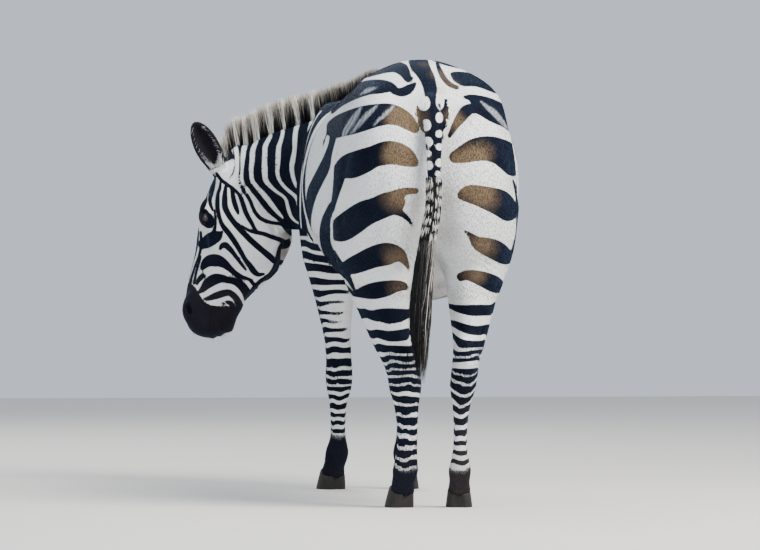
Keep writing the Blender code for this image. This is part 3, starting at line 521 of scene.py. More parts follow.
def face_details():
    """Lids, brow, nostril rims, mouth, cheek and vessel lines of the head."""
    ops = []
    for s in (1, -1):
        o = EYE_AT
        line = unit(EYE_LINE)
        up = unit(np.cross(S, EYE_LINE))
        if up @ F < 0:
            up = -up
        mid = hd(o[0], o[1] - 0.001, s * (o[2] + EYE_RADIUS - 0.004))

        def lid(a, b, c, mid=mid, line=line, up=up, s=s):
            return mid + line * a + up * b + s * S * c
        upper = [lid(-0.0235, -0.003, -0.006), lid(-0.013, 0.0085, 0.001), lid(0.0, 0.0125, 0.0035), lid(0.012, 0.0095, 0.001), lid(0.0235, -0.001, -0.007)]
        lower = [lid(-0.0235, -0.003, -0.006), lid(-0.012, -0.0105, 0.0), lid(0.0, -0.0135, 0.0015), lid(0.013, -0.0105, 0.0), lid(0.0235, -0.001, -0.007)]
        fold = [lid(-0.026, 0.009, -0.008), lid(-0.014, 0.020, -0.002), lid(0.001, 0.0245, 0.0), lid(0.015, 0.021, -0.003), lid(0.027, 0.010, -0.010)]
        bag = [lid(-0.022, -0.017, -0.006), lid(-0.008, -0.0235, -0.002), lid(0.008, -0.023, -0.002), lid(0.022, -0.015, -0.007)]
        ops += [('line', Crease(upper, 0.0042, -0.0052)), ('line', Crease(lower, 0.0036, -0.0036)),
                ('line', Crease(fold, 0.0040, 0.0024)), ('line', Crease(bag, 0.0042, 0.0016)),
                # facial crest below the eye, hollow above it, vessels of the cheek
                ('line', Crease([hd(0.255, -0.070, s * 0.082), hd(0.300, -0.078, s * 0.074), hd(0.345, -0.086, s * 0.062)], 0.012, -0.0045)),
                ('line', Crease([hd(0.150, -0.030, s * 0.076), hd(0.172, -0.036, s * 0.084)], 0.016, 0.0050)),
                ('line', Crease([hd(0.300, -0.130, s * 0.062), hd(0.355, -0.105, s * 0.056), hd(0.400, -0.085, s * 0.052)], 0.007, -0.0020)),
                ('line', Crease([hd(0.270, -0.235, s * 0.050), hd(0.205, -0.248, s * 0.052), hd(0.130, -0.215, s * 0.058)], 0.012, 0.0040)),
                # nostril: a raised rim round the opening
                ('line', Crease([hd(0.478, -0.010, s * 0.052), hd(0.492, 0.000, s * 0.050), hd(0.511, -0.003, s * 0.049),
                                 hd(0.524, -0.018, s * 0.050)], 0.0055, -0.0038)),
                ('line', Crease([hd(0.480, -0.022, s * 0.056), hd(0.495, -0.036, s * 0.058), hd(0.514, -0.034, s * 0.057)], 0.006, -0.0028)),
                ('cut', Blob(hd(0.503, -0.017, s * 0.052), (0.013, 0.0055, 0.016),
                             axes=axes_from(0.85 * M - 0.5 * F, 0.5 * M + 0.85 * F), k=0.004)),
                # lips
                ('line', Crease([hd(0.572, -0.094, 0), hd(0.556, -0.095, s * 0.034), hd(0.518, -0.090, s * 0.047)], 0.009, -0.0022)),
                ('line', Crease([hd(0.566, -0.118, 0), hd(0.550, -0.117, s * 0.030), hd(0.515, -0.111, s * 0.040)], 0.008, -0.0020)),
                ('line', Crease([hd(0.476, -0.096, s * 0.047), hd(0.470, -0.108, s * 0.043)], 0.006, 0.0022))]
    return ops


def body_details():
    """Soft grooves between the muscles and folds of the skin."""
    ops = []

    def g(w, h, *pts):
        ops.append(('line', Crease([np.array(p) for p in pts], w, h)))
    for s in (1, -1):
        # along the inner buttock, between the thigh's two muscles, and the flank's fold
        g(0.022, 0.0045, (s * 0.150 + 0.004, 0.125, 1.02), (s * 0.165, 0.118, 0.90), (s * 0.160, 0.085, 0.78), (s * 0.148, 0.050, 0.68))
        g(0.030, 0.0050, (s * 0.205, 0.000, 1.08), (s * 0.240, -0.030, 0.96), (s * 0.245, -0.060, 0.84))
        g(0.026, 0.0080, (s * 0.255, -0.270, 0.88), (s * 0.232, -0.262, 0.78), (s * 0.200, -0.250, 0.70), (s * 0.170, -0.245, 0.655))
        # point of the hip, stifle, cord above the hock
        g(0.040, -0.0080, (s * 0.190, -0.275, 1.165), (s * 0.205, -0.262, 1.135))
        g(0.030, -0.0060, (s * 0.205, -0.215, 0.735), (s * 0.198, -0.205, 0.705))
        g(0.010, 0.0050, (s * 0.146, 0.052, 0.560), (s * 0.138, 0.056, 0.510), (s * 0.124, 0.062, 0.470))
        g(0.010, 0.0050, (s * 0.096, 0.040, 0.560), (s * 0.094, 0.050, 0.510), (s * 0.090, 0.058, 0.470))
        # ribs, faintly
        for i in range(5):
            y = -0.50 - 0.085 * i
            g(0.016, 0.0016, (s * 0.300, y, 1.06), (s * 0.318, y + 0.020, 0.95), (s * 0.312, y + 0.050, 0.84), (s * 0.280, y + 0.085, 0.74))
    for cx, fy, s in ((0.190, -1.120, 1), (-0.008, -1.125, -1)):
        g(0.012, 0.0040, (cx + s * 0.044, fy + 0.010, 0.600), (cx + s * 0.040, fy + 0.006, 0.520), (cx + s * 0.036, fy + 0.004, 0.450))
        g(0.010, -0.0040, (cx + s * 0.004, fy + 0.040, 0.365), (cx + s * 0.003, fy + 0.042, 0.345))
    # tendons of the cannons
    for x0, y0, s in ((0.083, 0.024, 1), (-0.083, 0.024, -1), (0.192, -1.115, 1), (-0.010, -1.120, -1)):
        for side in (1, -1):
            g(0.006, 0.0028, (x0 + side * 0.021, y0 + 0.010, 0.270), (x0 + side * 0.020, y0 + 0.010, 0.220), (x0 + side * 0.021, y0 + 0.009, 0.165))
    # neck: groove over the windpipe, left and right, and wrinkles at the throat where it bends
    g(0.020, 0.0060, (0.255, -1.155, 0.80), (0.330, -1.225, 0.80), (0.385, -1.275, 0.81))
    g(0.010, 0.0040, (0.400, -1.270, 0.90), (0.385, -1.262, 0.84), (0.365, -1.270, 0.79))
    g(0.009, 0.0035, (0.372, -1.240, 0.92), (0.360, -1.235, 0.86), (0.338, -1.240, 0.80))
    return ops


BODY = (trunk_ops() + hind_leg_ops(1) + hind_leg_ops(-1) + fore_leg_ops(1) + fore_leg_ops(-1)
        + neck_ops() + head_ops() + tail_ops()[:1])
TAIL = Tube([(0.002, -0.040, 1.160, 0.044, 0.040, 0.040),
             (0.003, 0.035, 1.166, 0.041, 0.037, 0.037),
             (0.006, 0.110, 1.142, 0.034, 0.031, 0.031),
             (0.008, 0.164, 1.073, 0.028, 0.024, 0.024),
             (0.009, 0.186, 0.929, 0.020, 0.018, 0.018),
             (0.013, 0.189, 0.857, 0.015, 0.014, 0.014),
             (0.024, 0.186, 0.785, 0.012, 0.011, 0.011),
             (0.034, 0.180, 0.700, 0.008, 0.008, 0.008)], up=(0, 1, 0), k=0.012, cap=(0.04, 0.03))
OPS = BODY + [('add', TAIL)] + ear_ops(1, 0.010) + ear_ops(-1, 0.010) + body_details() + face_details() \
    + [('cut', Under(f)) for f in FEET]


def depth(P):
    """How far the skin lies under the tips of the coat."""
    rel = P - hd(0.27, -0.08)
    m = np.clip(rel @ M, -0.27, 0.27)
    near = np.linalg.norm(rel - m[:, None] * M, axis=1)
    low = np.clip((P[:, 2] - 0.30) / 0.35, 0, 1)
    return np.where(near < 0.16, 0.0016, np.clip(0.0016 + (near - 0.16) * 0.05, 0.0016, 0.0024 + 0.0014 * low))


def skin_field(P):
    return evaluate(OPS, P) + depth(P)


NECK_CUT, NECK_WAY = np.array((0.285, -1.295, 0.0)), unit((0.75, -0.66, 0.0))
BOX = (np.array((-0.42, -1.75, -0.01)), np.array((0.74, 0.26, 1.36)))


def coarse_field(P):
    """The body without what the finer grid makes: far beyond the cut nothing is asked for."""
    out = np.full(len(P), 0.2)
    i = np.nonzero((P - NECK_CUT) @ NECK_WAY < 0.03)[0]
    out[i] = skin_field(P[i])
    return out


def fine_field(P):
    out = np.full(len(P), 0.1)
    i = np.nonzero((P - NECK_CUT) @ NECK_WAY > -0.016)[0]
    out[i] = skin_field(P[i])
    return out


def normals_of(points, quads):
    n = np.cross(points[quads[:, 2]] - points[quads[:, 0]], points[quads[:, 3]] - points[quads[:, 1]])
    out = np.zeros_like(points)
    for k in range(4):
        for c in range(3):
            out[:, c] += np.bincount(quads[:, k], n[:, c], len(points))
    return out / np.maximum(np.linalg.norm(out, axis=1), 1e-12)[:, None]


def settle_on(points, quads, keep, times=2, limit=0.002):
    """Moves the kept points onto the surface along their normals."""
    for _ in range(times):
        n = normals_of(points, quads)[keep]
        f = skin_field(points[keep])
        if _ == 0:
            out = skin_field(points[keep][::50] + n[::50] * 0.001) - f[::50]
            sign = 1.0 if np.median(out) > 0 else -1.0
        points[keep] -= sign * np.clip(f, -limit, limit)[:, None] * n
    return points


def half(points, quads, side, off):
    """One side of the neck's cut as a bmesh, with its open rim."""
    bm = bmesh.new()
    me = bpy.data.meshes.new('half')
    me.from_pydata(points.tolist(), [], quads.tolist())
    bm.from_mesh(me)
    bpy.data.meshes.remove(me)
    c = NECK_CUT + NECK_WAY * off
    bmesh.ops.bisect_plane(bm, geom=bm.verts[:] + bm.edges[:] + bm.faces[:], dist=1e-5, plane_co=c, plane_no=NECK_WAY,
                           clear_outer=side < 0, clear_inner=side > 0)
    # keep the biggest shell
    bm.verts.index_update()
    bm.verts.ensure_lookup_table()
    mark = np.full(len(bm.verts), -1)
    best, n = None, 0
    for v in bm.verts:
        if mark[v.index] >= 0:
            continue
        stack, members = [v], []
        mark[v.index] = n
        while stack:
            w = stack.pop()
            members.append(w)
            for e in w.link_edges:
                o = e.other_vert(w)
                if mark[o.index] < 0:
                    mark[o.index] = n
                    stack.append(o)
        if best is None or len(members) > best[0]:
            best = (len(members), n)
        n += 1
    bmesh.ops.delete(bm, geom=[v for v in bm.verts if mark[v.index] != best[1]], context='VERTS')
    return bm


def rim(bm):
    """The open edge's vertices in order."""
    edges = [e for e in bm.edges if len(e.link_faces) == 1]
    nxt = {}
    for e in edges:
        for a, b in (tuple(e.verts), tuple(e.verts)[::-1]):
            nxt.setdefault(a, []).append(b)
    start = edges[0].verts[0]
    loop, prev = [start], None
    while True:
        opts = [v for v in nxt[loop[-1]] if v is not prev]
        prev = loop[-1]
        if opts[0] is start and len(loop) > 2:
            break
        loop.append(opts[0])
        if len(loop) > len(edges) + 2:
            break
    return loop


def build_skin():
    pc, qc = surface(coarse_field, *BOX, 0.0082)
    say('coarse skin', len(pc), len(qc))
    pf, qf = surface(fine_field, (0.19, -1.78, 0.36), (0.76, -1.17, 1.24), 0.0034)
    say('fine skin', len(pf), len(qf))
    keep = (pc - NECK_CUT) @ NECK_WAY < 0.014
    pc = settle_on(pc, qc, keep)
    keep = (pf - NECK_CUT) @ NECK_WAY > -0.012
    pf = settle_on(pf, qf, keep)
    say('settled')
    a, b = half(pc, qc, -1, -0.002), half(pf, qf, 1, 0.002)
    side = np.cross(NECK_WAY, (0, 0, 1.0))
    mid = np.array((0.285, -1.295, 0.955))

    def angle(v):
        r = np.array(v.co[:]) - mid
        return np.arctan2(r[2], r @ side)
    loops = []
    for bm in (a, b):
        r = rim(bm)
        ang = np.array([angle(v) for v in r])
        if np.sum((np.diff(np.unwrap(ang)))) < 0:
            r, ang = r[::-1], ang[::-1]
        k = int(np.argmin(ang))
        r, ang = r[k:] + r[:k], np.unwrap(np.concatenate([ang[k:], ang[:k]]))
        loops.append((r, ang))
    na = len(a.verts)
    a.verts.index_update()
    b.verts.index_update()
    verts = [v.co[:] for v in a.verts] + [v.co[:] for v in b.verts]
    faces = [[v.index for v in f.verts] for f in a.faces] + [[v.index + na for v in f.verts] for f in b.faces]
    (ra, aa), (rb, ab) = loops
    A = [v.index for v in ra]
    Bn = [v.index + na for v in rb]
    i = j = 0
    aa, ab = np.append(aa, aa[0] + 2 * pi), np.append(ab, ab[0] + 2 * pi)
    strip = []
    while i < len(A) or j < len(Bn):
        if j >= len(Bn) or (i < len(A) and aa[i + 1] < ab[j + 1]):
            strip.append([A[i % len(A)], Bn[j % len(Bn)], A[(i + 1) % len(A)]])
            i += 1
        else:
            strip.append([A[i % len(A)], Bn[j % len(Bn)], Bn[(j + 1) % len(Bn)]])
            j += 1
    say('rims', len(A), len(Bn), 'strip', len(strip))
    me = bpy.data.meshes.new('skin')
    me.from_pydata(verts, [], faces + strip)
    a.free()
    b.free()
    bm = bmesh.new()
    bm.from_mesh(me)
    bmesh.ops.recalc_face_normals(bm, faces=bm.faces)
    if bm.calc_volume(signed=True) < 0:
        bmesh.ops.reverse_faces(bm, faces=bm.faces)
    say('open edges of the skin', sum(not e.is_manifold for e in bm.edges))
    bmesh.ops.triangulate(bm, faces=bm.faces)
    n = len(bm.faces)
    bm.to_mesh(me)
    bm.free()
    ob = bpy.data.objects.new('skin_work', me)
    bpy.context.scene.collection.objects.link(ob)
    mod = ob.modifiers.new('fewer', 'DECIMATE')
    mod.ratio = 194000 / n
    out = bpy.data.meshes.new_from_object(ob.evaluated_get(bpy.context.evaluated_depsgraph_get()))
    bpy.data.objects.remove(ob)
    out.shade_smooth()
    return out


def arrays(me):
    co = np.empty(len(me.vertices) * 3, np.float32)
    me.vertices.foreach_get('co', co)
    no = np.empty(len(me.vertices) * 3, np.float32)
    me.vertices.foreach_get('normal', no)
    return co.reshape(-1, 3).astype(float), no.reshape(-1, 3).astype(float)


def piece(name, verts, faces, smooth=True):
    me = bpy.data.meshes.new(name)
    verts = np.asarray(verts, np.float32)
    faces = np.asarray(faces, np.int32)
    me.vertices.add(len(verts))
    me.vertices.foreach_set('co', verts.ravel())
    n = faces.shape[1]
    me.loops.add(faces.size)
    me.loops.foreach_set('vertex_index', faces.ravel())
    me.polygons.add(len(faces))
    me.polygons.foreach_set('loop_start', np.arange(0, faces.size, n, dtype=np.int32))
    me.update(calc_edges=True)
    me.validate()
    if smooth:
        me.shade_smooth()
    ob = bpy.data.objects.new(name, me)
    bpy.context.scene.collection.objects.link(ob)
    return ob


skin_mesh = build_skin()
SKIN_CO, SKIN_NO = arrays(skin_mesh)
polys = [p.vertices[:] for p in skin_mesh.polygons]
BVH = BVHTree.FromPolygons([tuple(v) for v in SKIN_CO], polys)
TRI = np.array([t for p in polys for t in ((p[0], p[1], p[2]),) + (((p[0], p[2], p[3]),) if len(p) == 4 else ())])
say('skin ready: verts', len(SKIN_CO), 'triangles', len(TRI))
RUMP_MARKS = [
    ('black', 'dorsal', (42, 1308, 26.2), (36, 1291, 27.6), (22, 1267, 23.3), (10, 1244, 21.8), (3, 1215, 18.9)),
    ('black', 'haunch_left_1', (202, 1251, 2.6), (185, 1256, 4.7), (161, 1265, 7.3), (132, 1275, 10.5),
    (106, 1281, 15.1), (87, 1276, 18.3), (77, 1265, 15.4), (67, 1247, 10.5), (57, 1250, 4.7)),
    ('black', 'haunch_left_2', (289, 1151, 5.8), (266, 1179, 13.4), (237, 1201, 19.2), (208, 1215, 21.2),
    (179, 1223, 21.5), (150, 1225, 20.9), (126, 1225, 16.3), (109, 1221, 9.9)),
    ('black', 'haunch_left_2b', (109, 1212, 9.9), (86, 1209, 13.4), (65, 1218, 13.4), (48, 1233, 5.2)),
    ('black', 'haunch_left_3', (304, 1026, 14.5), (298, 1061, 17.4), (292, 1093, 23.3), (266, 1110, 32.0),
    (231, 1122, 36.0), (193, 1134, 36.0), (156, 1142, 33.1), (124, 1145, 30.8), (92, 1137, 27.0), (68, 1121, 22.1),
    (48, 1102, 13.1)),
    ('black', 'haunch_left_3tail', (304, 1026, 14.5), (315, 991, 20.3), (333, 951, 18.9), (350, 907, 16),
    (358, 860, 11.6), (358, 820, 8.7), (350, 779, 9.3), (330, 733, 10.2), (298, 692, 8.7), (260, 654, 7.3),
    (231, 628, 4.4)),
    ('black', 'haunch_left_4', (263, 988, 20.3), (237, 994, 36.3), (202, 1007, 36.3), (167, 1022, 32),
    (132, 1032, 34.9), (103, 1031, 33.4), (74, 1020, 27.6), (48, 1003, 11.6)),
    ('black', 'haunch_left_4tail', (263, 988, 20.3), (269, 954, 16), (276, 922, 11.6), (283, 892, 8.7),
    (289, 866, 7.3)),
    ('black', 'flank_left_2', (292, 881, 7.3), (299, 858, 11.6), (307, 831, 14.5), (310, 794, 16), (302, 756, 17.4),
    (283, 721, 17.4), (260, 692, 14.5), (240, 666, 8.7), (225, 637, 4.4)),
    ('black', 'haunch_left_5', (281, 799, 20.3), (260, 811, 36.3), (231, 831, 39.2), (196, 855, 37.8),
    (161, 869, 34.9), (126, 884, 34.9), (103, 890, 27.6)),
    ('black', 'haunch_left_5up', (109, 907, 17.4), (77, 920, 11.6), (45, 922, 8.7)),
    ('black', 'haunch_left_5low', (115, 872, 17.4), (86, 855, 9.3), (68, 840, 6.7), (54, 820, 3.5)),
    ('black', 'haunch_left_6', (260, 698, 11.6), (231, 704, 24.7), (199, 717, 29.1), (167, 730, 32), (135, 738, 33.4),
    (109, 740, 26.2), (89, 733, 17.4), (74, 712, 8.7), (65, 692, 2.9)),
    ('black', 'haunch_left_7', (225, 622, 7.3), (193, 628, 18.9), (164, 632, 24.7), (132, 638, 23.3),
    (103, 645, 17.4), (83, 645, 13.1), (71, 640, 5.8)),
    ('black', 'haunch_right_1', (1, 1305, 2.6), (-19, 1301, 7.0), (-42, 1294, 7.8), (-68, 1286, 6.1),
    (-97, 1276, 2.3)),
    ('black', 'haunch_right_1b', (-16, 1294, 4.7), (-25, 1270, 7.6), (-38, 1247, 8.1), (-54, 1231, 7.6),
    (-74, 1222, 6.4)),
    ('black', 'haunch_right_2', (-60, 1262, 5.8), (-74, 1254, 15.1), (-94, 1247, 20.9), (-115, 1245, 19.2),
    (-138, 1238, 15.1), (-164, 1225, 11.3), (-188, 1209, 5.2)),
    ('black', 'haunch_right_3', (-94, 1195, 3.8), (-112, 1193, 9.3), (-132, 1183, 18.0), (-153, 1170, 26.7),
    (-173, 1158, 31.4), (-196, 1145, 30.2), (-217, 1124, 19.2), (-231, 1097, 6.4)),
    ('black', 'haunch_right_3c', (-52, 1081, 5.8), (-67, 1108, 10.5), (-83, 1131, 15.1), (-100, 1153, 17.4),
    (-118, 1161, 14.5), (-138, 1153, 9.3), (-156, 1137, 4.7)),
    ('black', 'haunch_right_4', (-68, 1020, 17.4), (-94, 1029, 26.2), (-126, 1041, 33.4), (-161, 1045, 36.3),
    (-193, 1038, 37.8), (-219, 1023, 39.2), (-237, 997, 32)),
    ('black', 'haunch_right_5', (-89, 910, 14.5), (-112, 913, 26.2), (-141, 907, 30.5), (-170, 898, 34.9),
    (-199, 887, 37.8), (-222, 866, 32)),
    ('black', 'flank_right', (-237, 954, 2.9), (-246, 919, 4.7), (-251, 878, 5.2), (-251, 837, 5.2), (-249, 794, 5.8),
    (-237, 750, 5.2), (-225, 715, 2.9)),
    ('black', 'haunch_right_6', (-97, 805, 2.9), (-115, 791, 8.7), (-135, 770, 18.9), (-161, 760, 26.2),
    (-188, 749, 29.1), (-211, 733, 24.7), (-225, 721, 11.6)),
    ('black', 'haunch_right_7', (-86, 672, 13.1), (-103, 677, 14.5), (-126, 673, 18.9), (-156, 663, 23.3),
    (-182, 651, 24.7), (-199, 642, 17.4)),
    ('white', 'streak_left_1', (257, 1079, 4.4), (246, 1102, 9.3), (225, 1134, 9.3), (205, 1166, 4.4)),
    ('white', 'streak_left_2', (237, 1087, 2.9), (214, 1113, 6.4), (188, 1142, 7.6), (158, 1170, 3.5)),
    ('white', 'streak_left_3', (167, 1116, 2.3), (135, 1145, 5.8), (109, 1169, 3.5)),
    ('white', 'streak_left_4', (205, 1204, 2.3), (185, 1215, 6.4), (161, 1222, 2.3)),
    ('white', 'streak_right_1', (-144, 1182, 2.6), (-161, 1167, 6.1), (-182, 1150, 8.7), (-202, 1128, 7.6),
    (-222, 1103, 2.9)),
    ('white', 'flank_left_2w', (290, 840, 2.6), (290, 808, 3.2), (289, 776, 3.8), (281, 753, 3.5)),
    ('white', 'flank_left_1w', (372, 924, 3.5), (371, 881, 3.5), (368, 831, 3.2), (362, 785, 2.9), (344, 738, 2.9),
    (315, 698, 2.9)),
]

NECK_MARKS = [
    ('white', 'neck_9', (301, 1137, 4.7), (310, 1113, 5.2), (312, 1084, 4.7), (324, 1061, 4.1), (339, 1035, 4.4),
    (347, 1012, 3.8), (359, 977, 2.3)),
    ('white', 'neck_9b', (301, 1079, 4.7), (307, 1055, 5.8), (321, 1023, 6.7), (337, 991, 6.7), (353, 959, 6.4),
    (365, 930, 5.5), (369, 895, 4.4), (369, 852, 3.8), (368, 808, 3.5)),
    ('white', 'neck_9top', (318, 1209, 4.4), (304, 1180, 5.2), (297, 1154, 5.2), (301, 1137, 4.7)),
    ('white', 'neck_8', (353, 1192, 4.1), (342, 1163, 5.2), (337, 1140, 6.4), (349, 1119, 5.5), (355, 1093, 5.5),
    (353, 1064, 6.1), (359, 1026, 6.1), (365, 988, 5.2), (371, 954, 4.4), (368, 930, 2.9)),
    ('white', 'neck_7', (408, 1192, 5.2), (394, 1151, 7.6), (388, 1125, 7.0), (394, 1099, 6.4), (397, 1070, 6.7),
    (398, 1041, 5.8), (403, 1012, 7.0), (406, 994, 6.4), (405, 977, 5.8), (400, 954, 5.2), (392, 936, 4.4),
    (382, 922, 3.2), (374, 908, 1.7)),
    ('white', 'neck_6', (452, 1157, 4.4), (438, 1125, 6.4), (432, 1096, 5.2), (437, 1070, 5.2), (444, 1047, 6.7),
    (446, 1012, 7.0), (448, 983, 5.5), (446, 965, 5.2), (440, 951, 4.7), (431, 938, 4.4), (417, 924, 4.4),
    (401, 911, 4.7), (390, 898, 5.2), (385, 881, 5.8), (381, 863, 5.5), (376, 846, 3.8), (371, 829, 2.0)),
    ('white', 'neck_5', (484, 1157, 4.4), (471, 1119, 5.2), (468, 1084, 5.2), (474, 1070, 5.8), (483, 1052, 6.7),
    (484, 1035, 7.0), (485, 1012, 7.0), (485, 983, 7.8), (482, 954, 7.0), (472, 940, 5.8), (461, 929, 4.7),
    (448, 918, 4.1), (433, 908, 3.8), (423, 897, 4.1), (419, 881, 4.4), (414, 863, 4.7), (407, 846, 4.1),
    (394, 833, 2.9), (376, 823, 1.7)),
    ('white', 'neck_4', (522, 1134, 3.5), (507, 1102, 4.4), (508, 1070, 5.2), (519, 1041, 7.0), (521, 1012, 7.3),
    (524, 983, 5.8), (521, 954, 5.8), (512, 939, 5.5), (499, 924, 6.1), (487, 910, 6.7), (474, 895, 7.0),
    (464, 881, 6.7), (452, 866, 5.5), (440, 853, 3.8), (432, 843, 2.0)),
    ('white', 'neck_3', (532, 1105, 4.4), (537, 1070, 5.2), (545, 1041, 6.7), (548, 1012, 5.5), (550, 983, 4.1),
    (551, 954, 4.4), (544, 936, 5.2), (534, 923, 5.8), (524, 908, 6.4), (512, 892, 7.3), (501, 875, 8.4),
    (487, 858, 8.7), (469, 844, 6.7), (452, 836, 3.2)),
    ('black', 'neck_nape', (548, 1096, 2.9), (555, 1081, 8.7), (557, 1064, 9.9), (557, 1044, 4.9), (557, 1017, 2.6),
    (557, 983, 2.6), (559, 956, 3.2), (555, 939, 4.7), (546, 923, 5.5), (535, 907, 5.8), (526, 891, 5.8),
    (520, 875, 5.8), (512, 859, 6.1), (499, 844, 6.4), (481, 834, 6.1), (461, 829, 5.5), (438, 826, 5.5),
    (420, 817, 4.7)),
    ('black', 'neck_ear', (609, 1096, 4.7), (596, 1081, 7.0), (584, 1064, 5.2), (577, 1044, 2.3), (573, 1020, 2.0),
    (572, 997, 2.0), (577, 974, 2.0), (587, 958, 1.7)),
]

HEAD_MARKS = [
    ('black', 'brow_1', (633, 968, 3.7), (647, 936, 4.7), (656, 913, 6.0), (660, 892, 8.4), (665, 878, 8.4),
    (669, 868, 4.7)),
    ('black', 'brow_2', (630, 962, 4.7), (635, 939, 7.4), (640, 917, 7.7), (644, 898, 6.4), (642, 881, 5.4),
    (636, 866, 3.7)),
    ('black', 'brow_3', (625, 972, 5.4), (610, 953, 5.4), (593, 940, 5.7), (577, 929, 5.0), (564, 917, 5.0),
    (555, 903, 6.4), (548, 884, 7.4), (541, 863, 7.4), (532, 844, 7.0), (523, 829, 6.4), (515, 814, 5.4),
    (506, 802, 4.3)),
    ('black', 'brow_4', (613, 948, 3.7), (615, 930, 5.0), (620, 916, 5.4), (622, 895, 7.0), (622, 872, 7.0),
    (618, 852, 6.4), (613, 834, 6.4), (605, 818, 7.7), (592, 802, 8.4), (578, 783, 8.4), (567, 766, 8.1),
    (554, 744, 7.4), (542, 723, 7.0), (528, 705, 8.4), (517, 689, 9.4), (504, 679, 7.0), (488, 680, 4.0)),
    ('black', 'face_1', (597, 942, 4.0), (600, 919, 6.7), (601, 898, 8.7), (600, 875, 9.1), (590, 853, 8.7),
    (576, 833, 8.4), (560, 813, 8.1), (542, 795, 8.7), (526, 779, 9.1), (507, 762, 9.1), (487, 745, 9.1),
    (469, 730, 9.7), (459, 718, 7.4)),
    ('black', 'face_2', (577, 836, 4.3), (561, 825, 4.3), (544, 815, 4.3), (528, 806, 5.4), (507, 801, 6.4),
    (484, 796, 6.7), (464, 788, 6.7), (440, 780, 7.0), (423, 773, 5.4)),
    ('black', 'face_3', (584, 936, 4.3), (579, 919, 6.0), (576, 901, 7.4), (571, 881, 7.7), (565, 866, 6.4),
    (561, 853, 3.0)),
    ('black', 'eye_back', (631, 866, 3.3), (628, 843, 4.0), (628, 823, 4.3), (631, 808, 5.7), (635, 799, 7.4)),
    ('black', 'cheek_patch', (665, 767, 14.5), (653, 773, 18.0), (640, 782, 19.8), (626, 789, 16.9), (616, 796, 9.3),
    (608, 804, 2.9)),
    ('black', 'nose_line_1', (679, 814, 3.3), (680, 779, 3.7), (686, 744, 3.7), (695, 715, 3.7), (703, 686, 3.7),
    (709, 663, 4.7)),
    ('black', 'nose_line_2', (671, 802, 4.0), (669, 767, 5.0), (676, 733, 4.0), (687, 704, 3.7), (697, 672, 4.0),
    (702, 651, 5.4)),
    ('black', 'nose_line_3', (671, 730, 4.0), (679, 704, 4.3), (685, 680, 4.0), (690, 654, 4.7)),
    ('black', 'hook', (614, 754, 4.7), (609, 762, 7.7), (599, 764, 9.7), (587, 754, 8.4), (576, 741, 7.0),
    (564, 725, 6.0), (552, 709, 5.4), (540, 693, 3.7)),
    ('black', 'arch_1', (666, 698, 7.4), (657, 711, 13.5), (644, 719, 17.2), (629, 720, 18.5), (615, 717, 16.2),
    (600, 708, 12.8), (586, 696, 9.4), (571, 684, 7.4), (555, 674, 6.4), (538, 667, 5.7), (522, 662, 4.3)),
    ('black', 'arch_1b', (589, 692, 4.7), (574, 679, 4.3), (558, 665, 4.3), (547, 653, 5.0), (536, 638, 5.7),
    (529, 625, 6.0)),
    ('black', 'comma', (682, 653, 5.4), (676, 664, 7.0), (667, 673, 8.4), (660, 673, 6.0)),
    ('black', 'arch_2', (676, 627, 5.0), (664, 637, 9.7), (653, 650, 14.1), (640, 660, 16.5), (626, 666, 15.8),
    (609, 667, 12.1), (593, 663, 10.4), (577, 660, 10.4), (563, 653, 10.8), (550, 638, 9.7), (541, 622, 9.4),
    (536, 608, 9.4)),
    ('black', 'arch_3', (660, 608, 4.0), (648, 610, 7.0), (635, 614, 9.4), (621, 619, 10.8), (605, 624, 10.8),
    (589, 626, 9.7), (577, 619, 9.7), (567, 608, 10.1), (559, 592, 10.8), (554, 579, 9.4)),
    ('black', 'arch_4', (609, 593, 4.0), (594, 598, 5.7), (583, 594, 7.7), (575, 580, 8.4), (570, 564, 6.7)),
    ('black', 'jaw_1', (531, 666, 4.7), (519, 653, 6.0), (510, 642, 6.0)),
    ('black', 'jaw_edge', (529, 619, 7.4), (516, 640, 6.7), (499, 658, 6.4), (481, 669, 7.7), (467, 677, 9.7),
    (455, 695, 9.7), (449, 715, 9.1), (445, 738, 7.0), (440, 759, 5.7), (429, 770, 5.7), (414, 779, 4.7)),
    ('black', 'jowl_1', (436, 757, 5.0), (423, 763, 8.4), (410, 769, 6.0)),
    ('black', 'jowl_2', (446, 717, 6.0), (432, 712, 8.7), (416, 709, 8.1)),
    ('black', 'throat_1', (432, 824, 6.7), (419, 811, 8.7), (408, 797, 6.7)),
    ('black', 'muzzle', (722, 628, 23.3), (708, 628, 24.7), (702, 599, 34.9), (685, 570, 39.5), (656, 551, 41.3),
    (624, 542, 43.6), (596, 529, 35.5)),
    ('black', 'eye_patch', (664, 849, 14.5), (654, 840, 20.3), (647, 830, 17.4)),
]


# ---------------------------------------------------------------- laying the strokes on the skin

YAW = radians(5.0)
LEFTWARD = np.array((cos(YAW), -sin(YAW), 0.0))
AWAY = np.array((-sin(YAW), -cos(YAW), 0.0))
VIEWPOINT = -24.0 * AWAY + np.array((0, 0, 1.207))       # far behind the animal, at the height of its back


def nearest(p):
    hit = BVH.find_nearest(Vector(p))
    return np.array(hit[0][:]), np.array(SKIN_NO[polys[hit[2]][0]])


